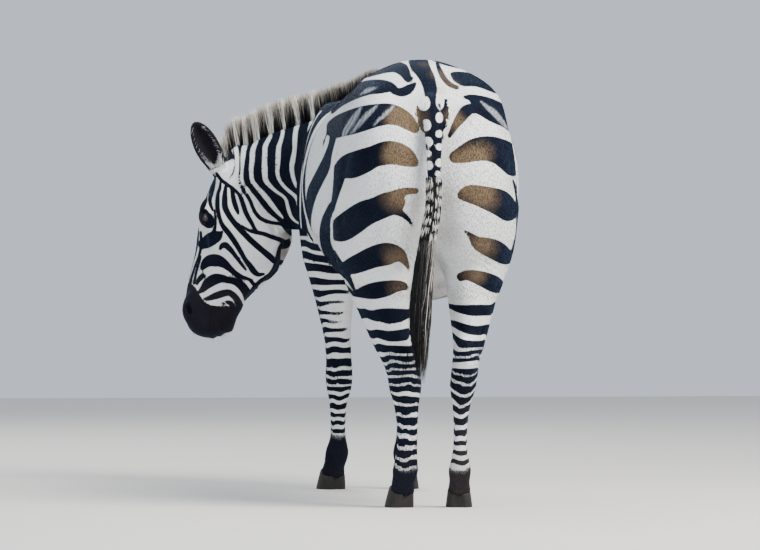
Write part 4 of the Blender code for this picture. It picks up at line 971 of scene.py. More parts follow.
def lay_from_behind(rows):
    """Rows of (left, height, half width) in mm on the rear plane, carried forward onto the skin.
    A stroke stays on the surface its middle lies on. Widths are opened out where the skin turns away."""
    s = spline([(a / 1000, b / 1000, w / 1000) for a, b, w in rows], 5)
    steps = np.r_[0, np.cumsum(np.linalg.norm(np.diff(s[:, :2], axis=0), axis=1))]
    n = max(3, int(steps[-1] / 0.006))
    t = np.linspace(0, steps[-1], n)
    s = np.stack([np.interp(t, steps, s[:, i]) for i in range(3)], 1)
    P, N, W, D = [None] * n, [None] * n, s[:, 2].copy(), [0.0] * n
    through = np.array([a * LEFTWARD + np.array((0, 0, b)) for a, b, _ in s])
    order = list(range(n // 2, n)) + list(range(n // 2 - 1, -1, -1))
    for i in order:
        d = unit(through[i] - VIEWPOINT)
        hit = BVH.ray_cast(Vector(VIEWPOINT), Vector(d))
        before = None if i == n // 2 else (i - 1 if i > n // 2 else i + 1)
        ok = hit[0] is not None
        if ok:
            p, nn = np.array(hit[0][:]), np.array(SKIN_NO[polys[hit[2]][0]])
            if before is not None and abs((p - P[before]) @ AWAY) > 0.11:
                ok = False
        if not ok:
            ref = P[before] if before is not None else through[i]
            q = VIEWPOINT + d * ((ref - VIEWPOINT) @ AWAY / (d @ AWAY))
            p, nn = nearest(q)
        P[i], N[i] = p, nn
        D[i] = np.linalg.norm(p - VIEWPOINT) / 24.0
    P, N = np.array(P), np.array(N)
    tan = unit(np.gradient(P, axis=0) + 1e-9)
    c = unit(np.cross(N, tan))
    back = unit(P - VIEWPOINT)
    flat = c - (c * back).sum(1)[:, None] * back
    tf = tan - (tan * back).sum(1)[:, None] * back
    tf = tf / np.maximum(np.linalg.norm(tf, axis=1), 1e-6)[:, None]
    across = np.linalg.norm(flat - (flat * tf).sum(1)[:, None] * tf, axis=1)
    open_out = 1 / np.clip(across, 0.34, 1)
    k = np.ones(5) / 5
    open_out = np.convolve(np.pad(open_out, 2, mode='edge'), k, 'valid')
    return P, W * np.array(D) * open_out


def lay_from_side(rows, side):
    """Rows of (y, height, half width) in metres on the middle plane, carried out to the left (1) or right (-1)."""
    s = spline(rows, 6)
    steps = np.r_[0, np.cumsum(np.linalg.norm(np.diff(s[:, :2], axis=0), axis=1))]
    n = max(3, int(steps[-1] / 0.015))
    t = np.linspace(0, steps[-1], n)
    s = np.stack([np.interp(t, steps, s[:, i]) for i in range(3)], 1)
    P = []
    for y, z, w in s:
        x0 = float(np.interp(-y, (0, 0.9, 1.05, 1.2), (0.0, 0.02, 0.05, 0.09)))
        hit = BVH.ray_cast(Vector((x0 + side * 0.9, y, z)), Vector((-side, 0, 0)))
        if hit[0] is None or (hit[0][0] - x0) * side < 0:
            P.append(nearest((x0 + side * 0.05, y, z))[0])
        else:
            P.append(np.array(hit[0][:]))
    return np.array(P), s[:, 2]


def resample(P, W, step):
    steps = np.r_[0, np.cumsum(np.linalg.norm(np.diff(P, axis=0), axis=1))]
    n = max(2, int(steps[-1] / step) + 1)
    t = np.linspace(0, steps[-1], n)
    return np.stack([np.interp(t, steps, P[:, i]) for i in range(3)], 1), np.interp(t, steps, W)


def drape(P, W, step=0.012):
    Q, V = resample(P, W, step)
    return np.array([nearest(q)[0] for q in Q]), V


STROKES = []           # (kind, name, points, half widths)


def put(kind, name, P, W, hidden=False):
    STROKES.append((kind, name, np.asarray(P, float), np.asarray(W, float), hidden))


NECK_TUBE = neck_ops()[0][1]


def over_neck(P):
    """The same place on the other side of the neck."""
    out = P
    bi, bt, x, y, z, mix = NECK_TUBE.local(out)
    side = unit(mix(NECK_TUBE.side))
    return out - 2 * x[:, None] * side


def over_head(P):
    rel = P - POLL
    return P - 2 * (rel @ S)[:, None] * S


def sway(P, amount, seed):
    """Shifts a stroke a little, so that the two sides differ."""
    r = np.random.default_rng(seed)
    a, b, c = r.uniform(0, 6.28, 3)
    w = np.stack([np.sin(P[:, 2] * 21 + a), np.sin(P[:, 2] * 17 + b), np.sin(P[:, 0] * 19 + P[:, 1] * 15 + c)], 1)
    return P + w * amount


def lay_all():
    for kind, name, *rows in RUMP_MARKS:
        put(kind, name, *lay_from_behind(rows))
    say('rump strokes')
    # the flanks and the barrel, seen from the side: y, height, half width
    for side in (1, -1):
        j = 0 if side > 0 else 1
        d = (0.0, 0.018)[j]
        rows = {
            'haunch_side_1': [(-0.34, 1.245, 0.018), (-0.52, 1.205, 0.022), (-0.68, 1.12, 0.026), (-0.76, 1.00, 0.028), (-0.785, 0.86, 0.028), (-0.775, 0.74, 0.022), (-0.755, 0.64, 0.010)],
            'haunch_side_2': [(-0.32, 1.185, 0.022), (-0.45, 1.145, 0.027), (-0.565, 1.06, 0.030), (-0.635, 0.95, 0.031), (-0.665, 0.83, 0.030), (-0.66, 0.72, 0.024), (-0.64, 0.63, 0.010)],
            'haunch_side_4': [(-0.08, 0.975, 0.034), (-0.20, 0.945, 0.034), (-0.32, 0.885, 0.032), (-0.40, 0.80, 0.026), (-0.43, 0.72, 0.018), (-0.43, 0.655, 0.008)],
            'haunch_side_5': [(-0.08, 0.800, 0.036), (-0.17, 0.795, 0.033), (-0.26, 0.775, 0.026), (-0.315, 0.74, 0.014), (-0.335, 0.70, 0.005)],
            'haunch_side_6': [(-0.09, 0.695, 0.028), (-0.17, 0.690, 0.026), (-0.235, 0.685, 0.016), (-0.27, 0.675, 0.006)],
            'barrel_1': [(-0.755, 1.245, 0.012), (-0.785, 1.16, 0.022), (-0.805, 1.02, 0.027), (-0.81, 0.88, 0.027), (-0.80, 0.75, 0.021), (-0.785, 0.645, 0.008)],
            'barrel_1b': [(-0.86, 1.245, 0.010), (-0.885, 1.14, 0.019), (-0.895, 1.00, 0.021), (-0.898, 0.87, 0.020), (-0.885, 0.76, 0.013), (-0.87, 0.67, 0.004)],
            'barrel_2': [(-0.935, 1.245, 0.014), (-0.96, 1.14, 0.024), (-0.975, 1.00, 0.026), (-0.98, 0.87, 0.025), (-0.965, 0.76, 0.018), (-0.95, 0.66, 0.006)],
            'shoulder_1': [(-0.99, 1.235, 0.014), (-1.035, 1.13, 0.024), (-1.06, 1.00, 0.026), (-1.075, 0.88, 0.021), (-1.05, 0.80, 0.012), (-1.01, 0.735, 0.004)],
            'shoulder_2': [(-1.085, 1.10, 0.020), (-1.125, 1.00, 0.024), (-1.15, 0.90, 0.022), (-1.155, 0.82, 0.014), (-1.16, 0.76, 0.005)],
            'shoulder_3': [(-1.185, 1.03, 0.016), (-1.215, 0.94, 0.020), (-1.235, 0.86, 0.018), (-1.245, 0.79, 0.012), (-1.24, 0.73, 0.004)],
            'elbow_1': [(-1.03, 0.715, 0.006), (-1.08, 0.750, 0.012), (-1.13, 0.725, 0.013), (-1.19, 0.700, 0.010), (-1.235, 0.69, 0.005)],
            'elbow_2': [(-1.04, 0.668, 0.010), (-1.09, 0.690, 0.012), (-1.15, 0.665, 0.012), (-1.21, 0.650, 0.008)]}
        if side > 0:
            for name in ('haunch_side_2', 'haunch_side_4', 'haunch_side_5', 'haunch_side_6'):
                rows.pop(name)
        else:
            rows['haunch_side_2'] = [(-0.06, 1.238, 0.020), (-0.18, 1.230, 0.024), (-0.32, 1.195, 0.024)] + rows['haunch_side_2'][1:]
            rows['haunch_side_5'] = [(0.0, 0.880, 0.042), (-0.08, 0.872, 0.039), (-0.17, 0.855, 0.034), (-0.27, 0.820, 0.028), (-0.335, 0.765, 0.016), (-0.36, 0.70, 0.005)]
            rows['haunch_side_6'] = [(0.0, 0.742, 0.030), (-0.08, 0.735, 0.029), (-0.16, 0.725, 0.026), (-0.235, 0.705, 0.017), (-0.28, 0.68, 0.006)]
            rows['haunch_side_7'] = [(0.0, 0.662, 0.020), (-0.08, 0.657, 0.019), (-0.15, 0.650, 0.015), (-0.21, 0.642, 0.007)]
            rows['haunch_side_4'] = [(0.02, 1.020, 0.056), (-0.08, 1.010, 0.050), (-0.19, 0.975, 0.040)] + rows['haunch_side_4'][2:]
            rows['haunch_side_3'] = [(0.0, 1.136, 0.034), (-0.10, 1.128, 0.035), (-0.20, 1.098, 0.032), (-0.31, 1.045, 0.032), (-0.42, 0.965, 0.034), (-0.50, 0.87, 0.033), (-0.535, 0.76, 0.026), (-0.53, 0.64, 0.010)]
        for name, r in rows.items():
            r = [(y - d * (0.5 + z), z + (0.006 if j else 0), w * (0.94 if j else 1.0)) for y, z, w in r]
            P, W = lay_from_side(r, side)
            put('black', name + ('_left', '_right')[j], P, W, True)
        if side > 0:
            for name, r in (('shoulder_pale_1', [(-0.965, 1.225, 0.007), (-1.000, 1.13, 0.013), (-1.020, 1.00, 0.016), (-1.028, 0.88, 0.015), (-1.015, 0.80, 0.009)]),
                            ('shoulder_pale_2', [(-1.060, 1.150, 0.006), (-1.085, 1.06, 0.012), (-1.108, 0.95, 0.015), (-1.115, 0.86, 0.012), (-1.108, 0.80, 0.006)])):
                P, W = lay_from_side(r, side)
                put('white', name, P, W, True)
    # along the back and the belly
    back = [(0.0 + 0.05 * max(0, -y - 0.9) / 0.2, y) for y in np.linspace(-0.22, -1.02, 20)]
    P = []
    for x, y in back:
        hit = BVH.ray_cast(Vector((x, y, 1.6)), Vector((0, 0, -1)))
        P.append(np.array(hit[0][:]))
    put('black', 'back_line', P, np.interp(np.arange(20), (0, 3, 19), (0.024, 0.013, 0.011)))
    P = []
    for y in np.linspace(-1.08, -0.20, 20):
        hit = BVH.ray_cast(Vector((0.01, y, 0.30)), Vector((0, 0, 1)))
        P.append(np.array(hit[0][:]))
    put('black', 'belly_line', P, np.interp(np.arange(20), (0, 5, 15, 19), (0.006, 0.016, 0.018, 0.008)))
    say('side strokes')
    # the neck: a black ground with white strokes, on both sides
    for kind, name, *rows in NECK_MARKS:
        P, W = lay_from_behind(rows)
        put(kind, name, P, W)
        if name in ('neck_nape', 'neck_3', 'neck_4', 'neck_5', 'neck_6', 'neck_7', 'neck_8'):
            Q = over_neck(sway(P, 0.004, len(STROKES)))
            put(kind, name + '_right', *drape(Q, W * 1.05))
            # both ends run on over the throat
            if name in ('neck_3', 'neck_4', 'neck_5', 'neck_6'):
                R, V = drape(np.array([P[-1], (P[-1] + Q[-1]) / 2 - (0, 0, 0.05), Q[-1]]), np.array([W[-1], W[-1] * 1.3, W[-1]]))
                put(kind, name + '_throat', R, V)
    say('neck strokes')
    for kind, name, *rows in HEAD_MARKS:
        P, W = lay_from_behind(rows)
        put(kind, name, P, W)
        if name != 'muzzle':
            Q = over_head(sway(P, 0.0012, len(STROKES)))
            put(kind, name + '_right', *drape(Q, W, 0.008))
    for kind, name, m0, f0, s0, m1, f1, s1, w in (
            ('black', 'forehead_1', 0.06, 0.02, 0.006, 0.42, 0.02, 0.004, 0.0022), ('black', 'forehead_2', 0.05, 0.02, 0.018, 0.36, 0.02, 0.011, 0.0024),
            ('black', 'forehead_3', 0.05, 0.01, 0.030, 0.30, 0.02, 0.020, 0.0026), ('black', 'forehead_4', 0.06, 0.01, 0.042, 0.20, 0.02, 0.034, 0.0026)):
        for s in (1, -1):
            line = [hd(m0 + (m1 - m0) * t, f0 + (f1 - f0) * t + 0.03, s * (s0 + (s1 - s0) * t + 0.004 * sin(3.1 * t))) for t in np.linspace(0, 1, 24)]
            P = np.array([nearest(p)[0] for p in line])
            put(kind, name, P, w * np.interp(np.linspace(0, 1, 24), (0, 0.15, 0.85, 1), (0.5, 1, 1, 0.4)))
    say('head strokes', len(STROKES))


lay_all()


# ---------------------------------------------------------------- the bands of the legs

# each band: its height at the outer side, behind and at the inner side, and its half widths there, in mm
LEG_BANDS = {
    'hind_left': [(563, 560, 568, 12, 18, 6), (506, 504, 515, 10, 14.5, 8), (467, 464, 470, 10, 10.5, 8), (434, 438, 446, 7, 8.5, 8),
                  (410, 415, 422, 7, 9, 9), (396, 396, 398, 6, 7, 9), (372, 374, 368, 8, 9, 10), (349, 351, 344, 9, 9, 10),
                  (324, 318, 310, 9, 10, 10), (290, 287, 290, 11, 12, 10), (261, 254, 255, 9, 12, 10), (231, 224, 222, 10, 10, 9),
                  (200, 190, 194, 12, 12, 10), (166, 158, 170, 11, 12, 9), (136, 128, 134, 10, 11, 9)],
    'hind_right': [(583, 576, 590, 18, 14, 7), (516, 520, 540, 15, 12, 8), (476, 478, 500, 10, 10, 9), (456, 452, 456, 5, 8, 5), (434, 436, 430, 4, 6, 5),
                   (404, 396, 404, 7, 10, 6), (394, 374, 394, 8, 10, 8), (364, 345, 366, 9, 12, 10), (334, 314, 332, 9, 11, 9), (296, 286, 292, 10, 10, 8),
                   (262, 252, 258, 10, 10, 8), (226, 218, 224, 8, 9, 7), (196, 188, 192, 5, 6, 5), (168, 160, 166, 5, 6, 5), (142, 134, 138, 6, 6, 5)],
    'fore_left': [(786, 776, 764, 12, 11, 9), (750, 739, 727, 12, 11, 9), (714, 702, 690, 12, 11, 8), (680, 672, 664, 12, 11, 3), (638, 632, 630, 12, 8, -2), (598, 602, 606, 13, 6, -6), (566, 572, 574, 11, 3, -6),
                  (540, 540, 544, 9, 3, -6), (514, 514, 518, 9, 2, -6), (484, 488, 500, 10, 5, -4), (457, 457, 460, 10, 7, 0), (424, 426, 426, 10, 9, 8),
                  (388, 386, 390, 15, 13, 13), (357, 354, 357, 9, 9, 10), (331, 330, 326, 9, 9, 8), (308, 308, 310, 7, 7, 8), (285, 281, 287, 7, 7, 6),
                  (257, 253, 260, 8, 9, 7), (232, 226, 232, 7, 7, 6), (206, 203, 208, 7, 7, 6), (184, 176, 183, 7, 8, 8)],
    'fore_right': [(780, 770, 760, 12, 11, 9), (743, 734, 724, 12, 11, 8), (706, 698, 688, 11, 11, 7), (672, 664, 660, 10, 10, 7), (634, 628, 630, 10, 9, 5), (594, 600, 604, 11, 9, 3), (560, 566, 570, 9, 7, 2),
                   (532, 534, 540, 8, 7, 3), (504, 506, 512, 8, 7, 4), (476, 480, 486, 8, 8, 5), (448, 450, 452, 8, 8, 6), (418, 418, 420, 11, 10, 8),
                   (382, 380, 384, 14, 13, 12), (350, 348, 352, 9, 9, 10), (324, 322, 322, 8, 9, 8), (300, 298, 302, 7, 7, 8), (276, 272, 278, 7, 7, 6),
                   (250, 246, 252, 8, 8, 7), (226, 220, 226, 7, 7, 6), (200, 196, 202, 7, 7, 6), (178, 172, 178, 7, 8, 7)]}
LEG_AXIS = {'hind_left': [(0.140, -0.085, 0.76), (0.130, -0.045, 0.62), (0.118, 0.020, 0.49), (0.093, 0.042, 0.395), (0.085, 0.028, 0.30), (0.082, 0.020, 0.16), (0.083, -0.012, 0.075)],
            'fore_left': [(0.204, -1.125, 0.74), (0.198, -1.115, 0.57), (0.188, -1.116, 0.41), (0.189, -1.118, 0.31), (0.192, -1.115, 0.20), (0.194, -1.116, 0.115), (0.200, -1.136, 0.075)]}
LEG_AXIS['hind_right'] = [(-x, y, z) for x, y, z in LEG_AXIS['hind_left']]
LEG_AXIS['fore_right'] = [(-0.008 - (x - 0.190), y - 0.005, z) for x, y, z in LEG_AXIS['fore_left']]
LEG_TOP = {'hind_left': 0.600, 'hind_right': 0.602, 'fore_left': 0.770, 'fore_right': 0.765}
BLACK_BELOW = {'hind_left': 0.122, 'hind_right': 0.118, 'fore_left': 0.172, 'fore_right': 0.166}


def leg_of(P):
    """Which leg each point belongs to, or '' for none."""
    out = np.full(len(P), '', dtype='<U10')
    x, y, z = P.T
    hind = (y > -0.40) & (z < 0.62)
    fore = (y < -0.90) & (z < 0.80) & (x < 0.30) & ((P - NECK_CUT) @ NECK_WAY < 0.0)
    out[hind & (x > 0)] = 'hind_left'
    out[hind & (x <= 0)] = 'hind_right'
    out[fore & (x > 0.090)] = 'fore_left'
    out[fore & (x <= 0.090)] = 'fore_right'
    return out


def band_distance(P, leg):
    """On one leg: the signed distance (under 0 inside a band), and a phase whose even steps are black."""
    axis = np.array(LEG_AXIS[leg])[::-1]
    ax = np.interp(P[:, 2], axis[:, 2], axis[:, 0])
    ay = np.interp(P[:, 2], axis[:, 2], axis[:, 1])
    s = 1 if 'left' in leg else -1
    a = np.arctan2(P[:, 1] - ay, (P[:, 0] - ax) * s)          # 0 outer, +90 behind, 180 inner, -90 front
    c, sn = np.cos(a), np.sin(a)
    wo, wb, wi, wf = np.clip(c, 0, 1) ** 2, np.clip(sn, 0, 1) ** 2, np.clip(-c, 0, 1) ** 2, np.clip(-sn, 0, 1) ** 2
    wob = 0.0018 * np.sin(a * 3 + P[:, 2] * 31) + 0.0012 * np.sin(a * 5 - P[:, 2] * 47)
    z = P[:, 2] + wob
    lows, highs = [], []
    near, wide = np.full(len(P), 1.0), np.zeros(len(P))
    more = 1.18 if 'hind' in leg else 1.10
    for zo, zb, zi, ho, hb, hi in LEG_BANDS[leg][::-1]:
        ho, hb, hi = ho * more, hb * more, hi * more
        zf = (zo + zi) / 2 + 4
        h = (wo * zo + wb * zb + wi * zi + wf * zf) / 1000
        w = (wo * ho + wb * hb + wi * hi + wf * (ho + hb) / 2) / 1000
        closer = np.abs(z - h) - w < near
        near, wide = np.where(closer, np.abs(z - h) - w, near), np.where(closer, w, wide)
        w = np.maximum(w, 0.0008)
        lows.append(h - w)
        highs.append(h + w)
    ground = BLACK_BELOW[leg] + 0.006 * np.sin(a * 2 + 1)
    edges = [np.full(len(P), -0.2), ground]
    for lo, hi in zip(lows, highs):
        lo = np.maximum(lo, edges[-1] + 0.0015)
        edges += [lo, np.maximum(hi, lo + 0.0015)]
    edges.append(np.full(len(P), 1.2))
    E = np.array(edges)
    k = np.clip((z[None] >= E).sum(0) - 1, 0, len(E) - 2)
    i = np.arange(len(P))
    t = np.clip((z - E[k, i]) / np.maximum(E[k + 1, i] - E[k, i], 1e-4), 0, 1)
    gap = np.minimum(z - E[k, i], E[k + 1, i] - z)
    d = np.where(k % 2 == 0, -1, 1) * np.minimum(gap, 0.02)
    thin = (wide < 0.0022) & (z > ground + 0.03)
    return np.where(thin, np.clip(near, -0.02, 0.02), d), k + t, thin


def band_end(P):
    """The upper bands of the forelegs end in points behind the elbow."""
    return np.minimum((P[:, 1] + 0.995) * 0.28 - np.clip((0.655 - P[:, 2]) / 0.04, 0, 1) * 0.06, 0.02)


# the front edge of the neck's black ground, on the rear plane: left, height
GROUND_EDGE = np.array([
    (0.609, 1.201), (0.536, 1.105), (0.538, 1.07), (0.545, 1.041), (0.548, 1.012), (0.55, 0.983), (0.551, 0.954), 
    (0.544, 0.936), (0.534, 0.923), (0.524, 0.908), (0.512, 0.892), (0.501, 0.875), (0.487, 0.858), (0.469, 0.844), 
    (0.452, 0.836), (0.429, 0.827), (0.408, 0.805), (0.406, 0.791)])


def seen_from_behind(P):
    """1 where a place of the body shows from behind, 0 where it is hidden."""
    out = np.zeros(len(P))
    for k in np.nonzero(P[:, 2] > 0.55)[0]:
        d = P[k] - VIEWPOINT
        n = np.linalg.norm(d)
        hit = BVH.ray_cast(Vector(VIEWPOINT), Vector(d / n))
        if hit[0] is None or hit[3] > n - (0.030 if P[k, 1] > -1.1 else 0.012):
            out[k] = 1.0
    return out


def spread(values, times=3):
    """Evens values out over the skin's edges."""
    e = np.vstack([TRI[:, [0, 1]], TRI[:, [1, 2]], TRI[:, [2, 0]]])
    for _ in range(times):
        t = np.bincount(e[:, 0], values[e[:, 1]], len(values)) + np.bincount(e[:, 1], values[e[:, 0]], len(values))
        c = np.bincount(e[:, 0], minlength=len(values)) + np.bincount(e[:, 1], minlength=len(values))
        values = 0.5 * values + 0.5 * t / np.maximum(c, 1)
    return values



def dist_to(P, pts, wid, reach):
    """Signed distance to a stroke for those of P within its reach: (indices, distance)."""
    m = wid.max() + reach
    lo, hi = pts.min(0) - m, pts.max(0) + m
    i = np.nonzero(np.all((P > lo) & (P < hi), axis=1))[0]
    if not len(i):
        return i, None
    Q = P[i]
    best = np.full(len(Q), 1e9)
    for j in range(len(pts) - 1):
        a, b = pts[j], pts[j + 1]
        e = b - a
        L2 = max(e @ e, 1e-12)
        v = Q - a
        t = np.clip(v @ e / L2, 0, 1)
        d = np.linalg.norm(v - t[:, None] * e, axis=1) - (wid[j] * (1 - t) + wid[j + 1] * t)
        best = np.minimum(best, d)
    return i, best


TAIL_SPOTS = [(22, 1177, 18, 22), (16, 1113, 15, 17), (12, 1064, 17, 15), (13, 1030, 14, 10), (7, 996, 12, 13), (7, 952, 11, 11), (10, 914, 9, 11),
              (13, 883, 9, 10), (16, 857, 8, 9), (-25, 1183, 12, 25), (-23, 1135, 11, 15), (-22, 1088, 11, 11), (-23, 1050, 11, 10),
              (-23, 1004, 11, 12), (-19, 972, 10, 8), (-19, 946, 10, 8), (-17, 913, 9, 9), (-15, 879, 9, 9), (-9, 848, 8, 9)]
TAIL_HOLES = [(16, 1052, 6, 8), (-23, 1170, 4, 7)]


def tail_marks(P, ink):
    """Two rows of pale spots on the dark tail, seen from behind; the rest of it is dark."""
    bi, bt, x, y, z, mix = TAIL.local(P)
    r = np.hypot(x, y)
    on = (P[:, 1] > 0.062) & (P[:, 2] < 1.20) & (r < mix(TAIL.w) + 0.012)
    i = np.nonzero(on)[0]
    if not len(i):
        return ink
    q = rear_plane(P[i]) * 1000
    d = np.full(len(i), -0.012)
    for table, sign in ((TAIL_SPOTS, 1), (TAIL_HOLES, -1)):
        for l, h, a, b in table:
            e = (1 - np.hypot((q[:, 0] - l) / a, (q[:, 1] - h) / b)) * min(a, b) / 1000
            d = np.maximum(d, e) if sign > 0 else np.minimum(d, -e)
    rear = np.clip((y[i] / np.maximum(r[i], 1e-6)), -1, 1)
    d = np.where(rear > -0.2, d, -0.012)
    ink[i] = d
    return ink


def rear_plane(P):
    away = (P - VIEWPOINT) @ AWAY
    return np.stack([P @ LEFTWARD * 24.0 / away, 1.207 + (P[:, 2] - 1.207) * 24.0 / away], 1)


def flat_strokes(*tables):
    out = []
    for table in tables:
        for kind, name, *rows in table:
            c = spline([(x / 1000, z / 1000, w / 1000) for x, z, w in rows], 5)
            out.append((kind, name, c[:, :2], np.maximum(c[:, 2], 0.0008)))
    return out


TAIL_ROOT = [('black', 'tail_root', (10, 1240, 20), (3, 1215, 20), (5, 1186, 13), (4, 1151, 16), (-4, 1113, 22), (-6, 1080, 30))]
SIDE_LINES = [row for row in NECK_MARKS if row[1].startswith('neck_9')]
REAR_FLAT = flat_strokes([row for row in RUMP_MARKS if not row[1].startswith('streak')], SIDE_LINES, TAIL_ROOT)
STREAKS = flat_strokes([row for row in RUMP_MARKS if row[1].startswith('streak')])
FRONT_FLAT = flat_strokes(NECK_MARKS, HEAD_MARKS)


def flat_ink(Q, strokes, ink):
    for kind, name, pts, wid in strokes:
        i, d = dist_to(Q, pts, wid, 0.02)
        if d is None:
            continue
        if kind == 'black':
            ink[i] = np.minimum(ink[i], d)
        else:
            near = d < 0.02
            ink[i[near]] = np.maximum(ink[i[near]], -d[near])
    return ink


def ink_at(P, seen):
    """Signed distance to the nearest edge of black, under 0 in the black; far out it is capped."""
    ink = np.full(len(P), 0.02)
    rel = P - POLL
    m, f, s = rel @ M, rel @ F, rel @ S
    # the neck's black ground: from the stripe behind the cheek to the shoulder
    bi, bt, x, y, z, mix = NECK_TUBE.local(P)
    pos = (bi + bt) / (len(NECK_TUBE.c) - 1)
    r = np.hypot(x / mix(NECK_TUBE.w), y / np.where(y > 0, mix(NECK_TUBE.u), mix(NECK_TUBE.d)))
    side = unit(mix(NECK_TUBE.side))
    head = np.clip((pos - 0.80) / 0.15, 0, 1)[:, None]
    other = (P - 2 * x[:, None] * side) * (1 - head) + (P - 2 * s[:, None] * S) * head
    Q = np.where((x > 0)[:, None], other, P)
    lo = Q - VIEWPOINT
    away = lo @ AWAY
    l2, z2 = Q @ LEFTWARD * 24.0 / away, 1.207 + (Q[:, 2] - 1.207) * 24.0 / away
    gx = np.interp(z2, GROUND_EDGE[::-1, 1], GROUND_EDGE[::-1, 0])
    front = (l2 - gx) * 0.8
    base = pos - 0.16 + 0.12 * np.clip(y / 0.2, -1, 1)
    ground = np.maximum(np.maximum(front, -base * 0.7), (r - 1.6) * 0.1)
    ground = np.maximum(ground, (0.79 - z2) * 0.8)
    ink = np.minimum(ink, np.clip(ground, -0.03, 0.02))
    to_neck = (P - NECK_CUT) @ NECK_WAY
    shoulder = (P[:, 0] > 0) & (P[:, 1] < -0.765) & (to_neck < -0.07)
    plain = ((P[:, 0] < 0) & (P[:, 1] < -0.36) & (P[:, 1] > -0.86)) | shoulder
    seen = np.where(plain, 0.0, seen)
    for kind, name, pts, wid, hidden in STROKES:
        i, d = dist_to(P, pts, wid, 0.02)
        if d is None:
            continue
        d = d + (0.0 if hidden else 1.0 * shoulder[i]) * 0.05
        if kind == 'black':
            ink[i] = np.minimum(ink[i], d)
        else:
            near = d < 0.02
            ink[i[near]] = np.maximum(ink[i[near]], -d[near])
    # what shows from behind follows the strokes as they lie on the rear plane
    plane = rear_plane(P)
    back = P[:, 1] > -0.765
    i = np.nonzero((seen > 0.5) & back)[0]
    ink[i] = flat_ink(plane[i], REAR_FLAT, np.full(len(i), 0.02))
    i = np.nonzero((seen > 0.5) & ~back)[0]
    gx = np.interp(plane[i, 1], GROUND_EDGE[::-1, 1], GROUND_EDGE[::-1, 0])
    chest = (0.79 - plane[i, 1]) * 0.8
    ink[i] = flat_ink(plane[i], FRONT_FLAT, np.clip(np.maximum((plane[i, 0] - gx) * 0.8, chest), -0.02, 0.02))
    leg = leg_of(P)
    for name in LEG_BANDS:
        i = np.nonzero(leg == name)[0]
        if not len(i):
            continue
        d, _, _ = band_distance(P[i], name)
        w = np.clip((LEG_TOP[name] - P[i, 2]) / 0.03, 0, 1)
        if 'fore' in name:
            d = np.maximum(d, band_end(P[i]))
        ink[i] = np.where(w > 0.5, d, np.minimum(ink[i], np.where(w > 0, d + 0.004 * (1 - w), 0.02)))
    ink = tail_marks(P, ink)
    # muzzle, lips and chin are black; so are the rims of the eyes
    edge = 0.425 + 0.10 * np.clip(-f - 0.06, -0.05, 0.12) + 0.006 * np.sin(s * 90) + 0.004 * np.sin(f * 110)
    near_head = (m > 0.3) & (np.abs(s) < 0.12) & (f > -0.30) & (f < 0.08) & ((seen < 0.5) | (m > 0.53))
    ink = np.where(near_head, np.minimum(ink, np.maximum(edge - m, -0.03)), ink)
    for sd in (1, -1):
        c = hd(EYE_AT[0], EYE_AT[1], sd * (EYE_AT[2] + 0.012))
        d = np.linalg.norm((P - c) @ np.array([unit(EYE_LINE) / 1.25, unit(np.cross(S, EYE_LINE)), S]).T, axis=1) - 0.0245
        ink = np.minimum(ink, d)
    # ears: dark inside; outside a black tip, a white band, a black bar and a white root
    for sd in (1, -1):
        base, tip, e, n, across = ear_frame(sd)
        q = P - base
        t, up, ac = q @ e, q @ n, q @ across
        on = (t > 0.018) & (t < 0.20) & (np.abs(ac) < 0.06) & (np.abs(up) < 0.05)
        inside = np.clip(0.001 - up + 0.10 * np.abs(ac), -0.02, 0.02)
        d = np.minimum(inside, np.minimum(0.118 - t, np.abs(t - 0.052) - 0.014))
        if sd > 0:
            d = np.where(seen > 0.5, np.minimum(d, 0.026 - t), d)
        ink = np.where(on, d, ink)
    return np.clip(ink, -0.02, 0.02)


SEEN_SKIN = spread(seen_from_behind(SKIN_CO), 3)
say('seen')



SKIN_INK = ink_at(SKIN_CO, SEEN_SKIN)
say('ink on the skin')


# ---------------------------------------------------------------- materials

def new_material(name):
    m = bpy.data.materials.new(name)
    m.use_nodes = True
    nt = m.node_tree
    nt.nodes.clear()
    out = nt.nodes.new('ShaderNodeOutputMaterial')
    b = nt.nodes.new('ShaderNodeBsdfPrincipled')
    nt.links.new(b.outputs['BSDF'], out.inputs['Surface'])
    return m, nt, b


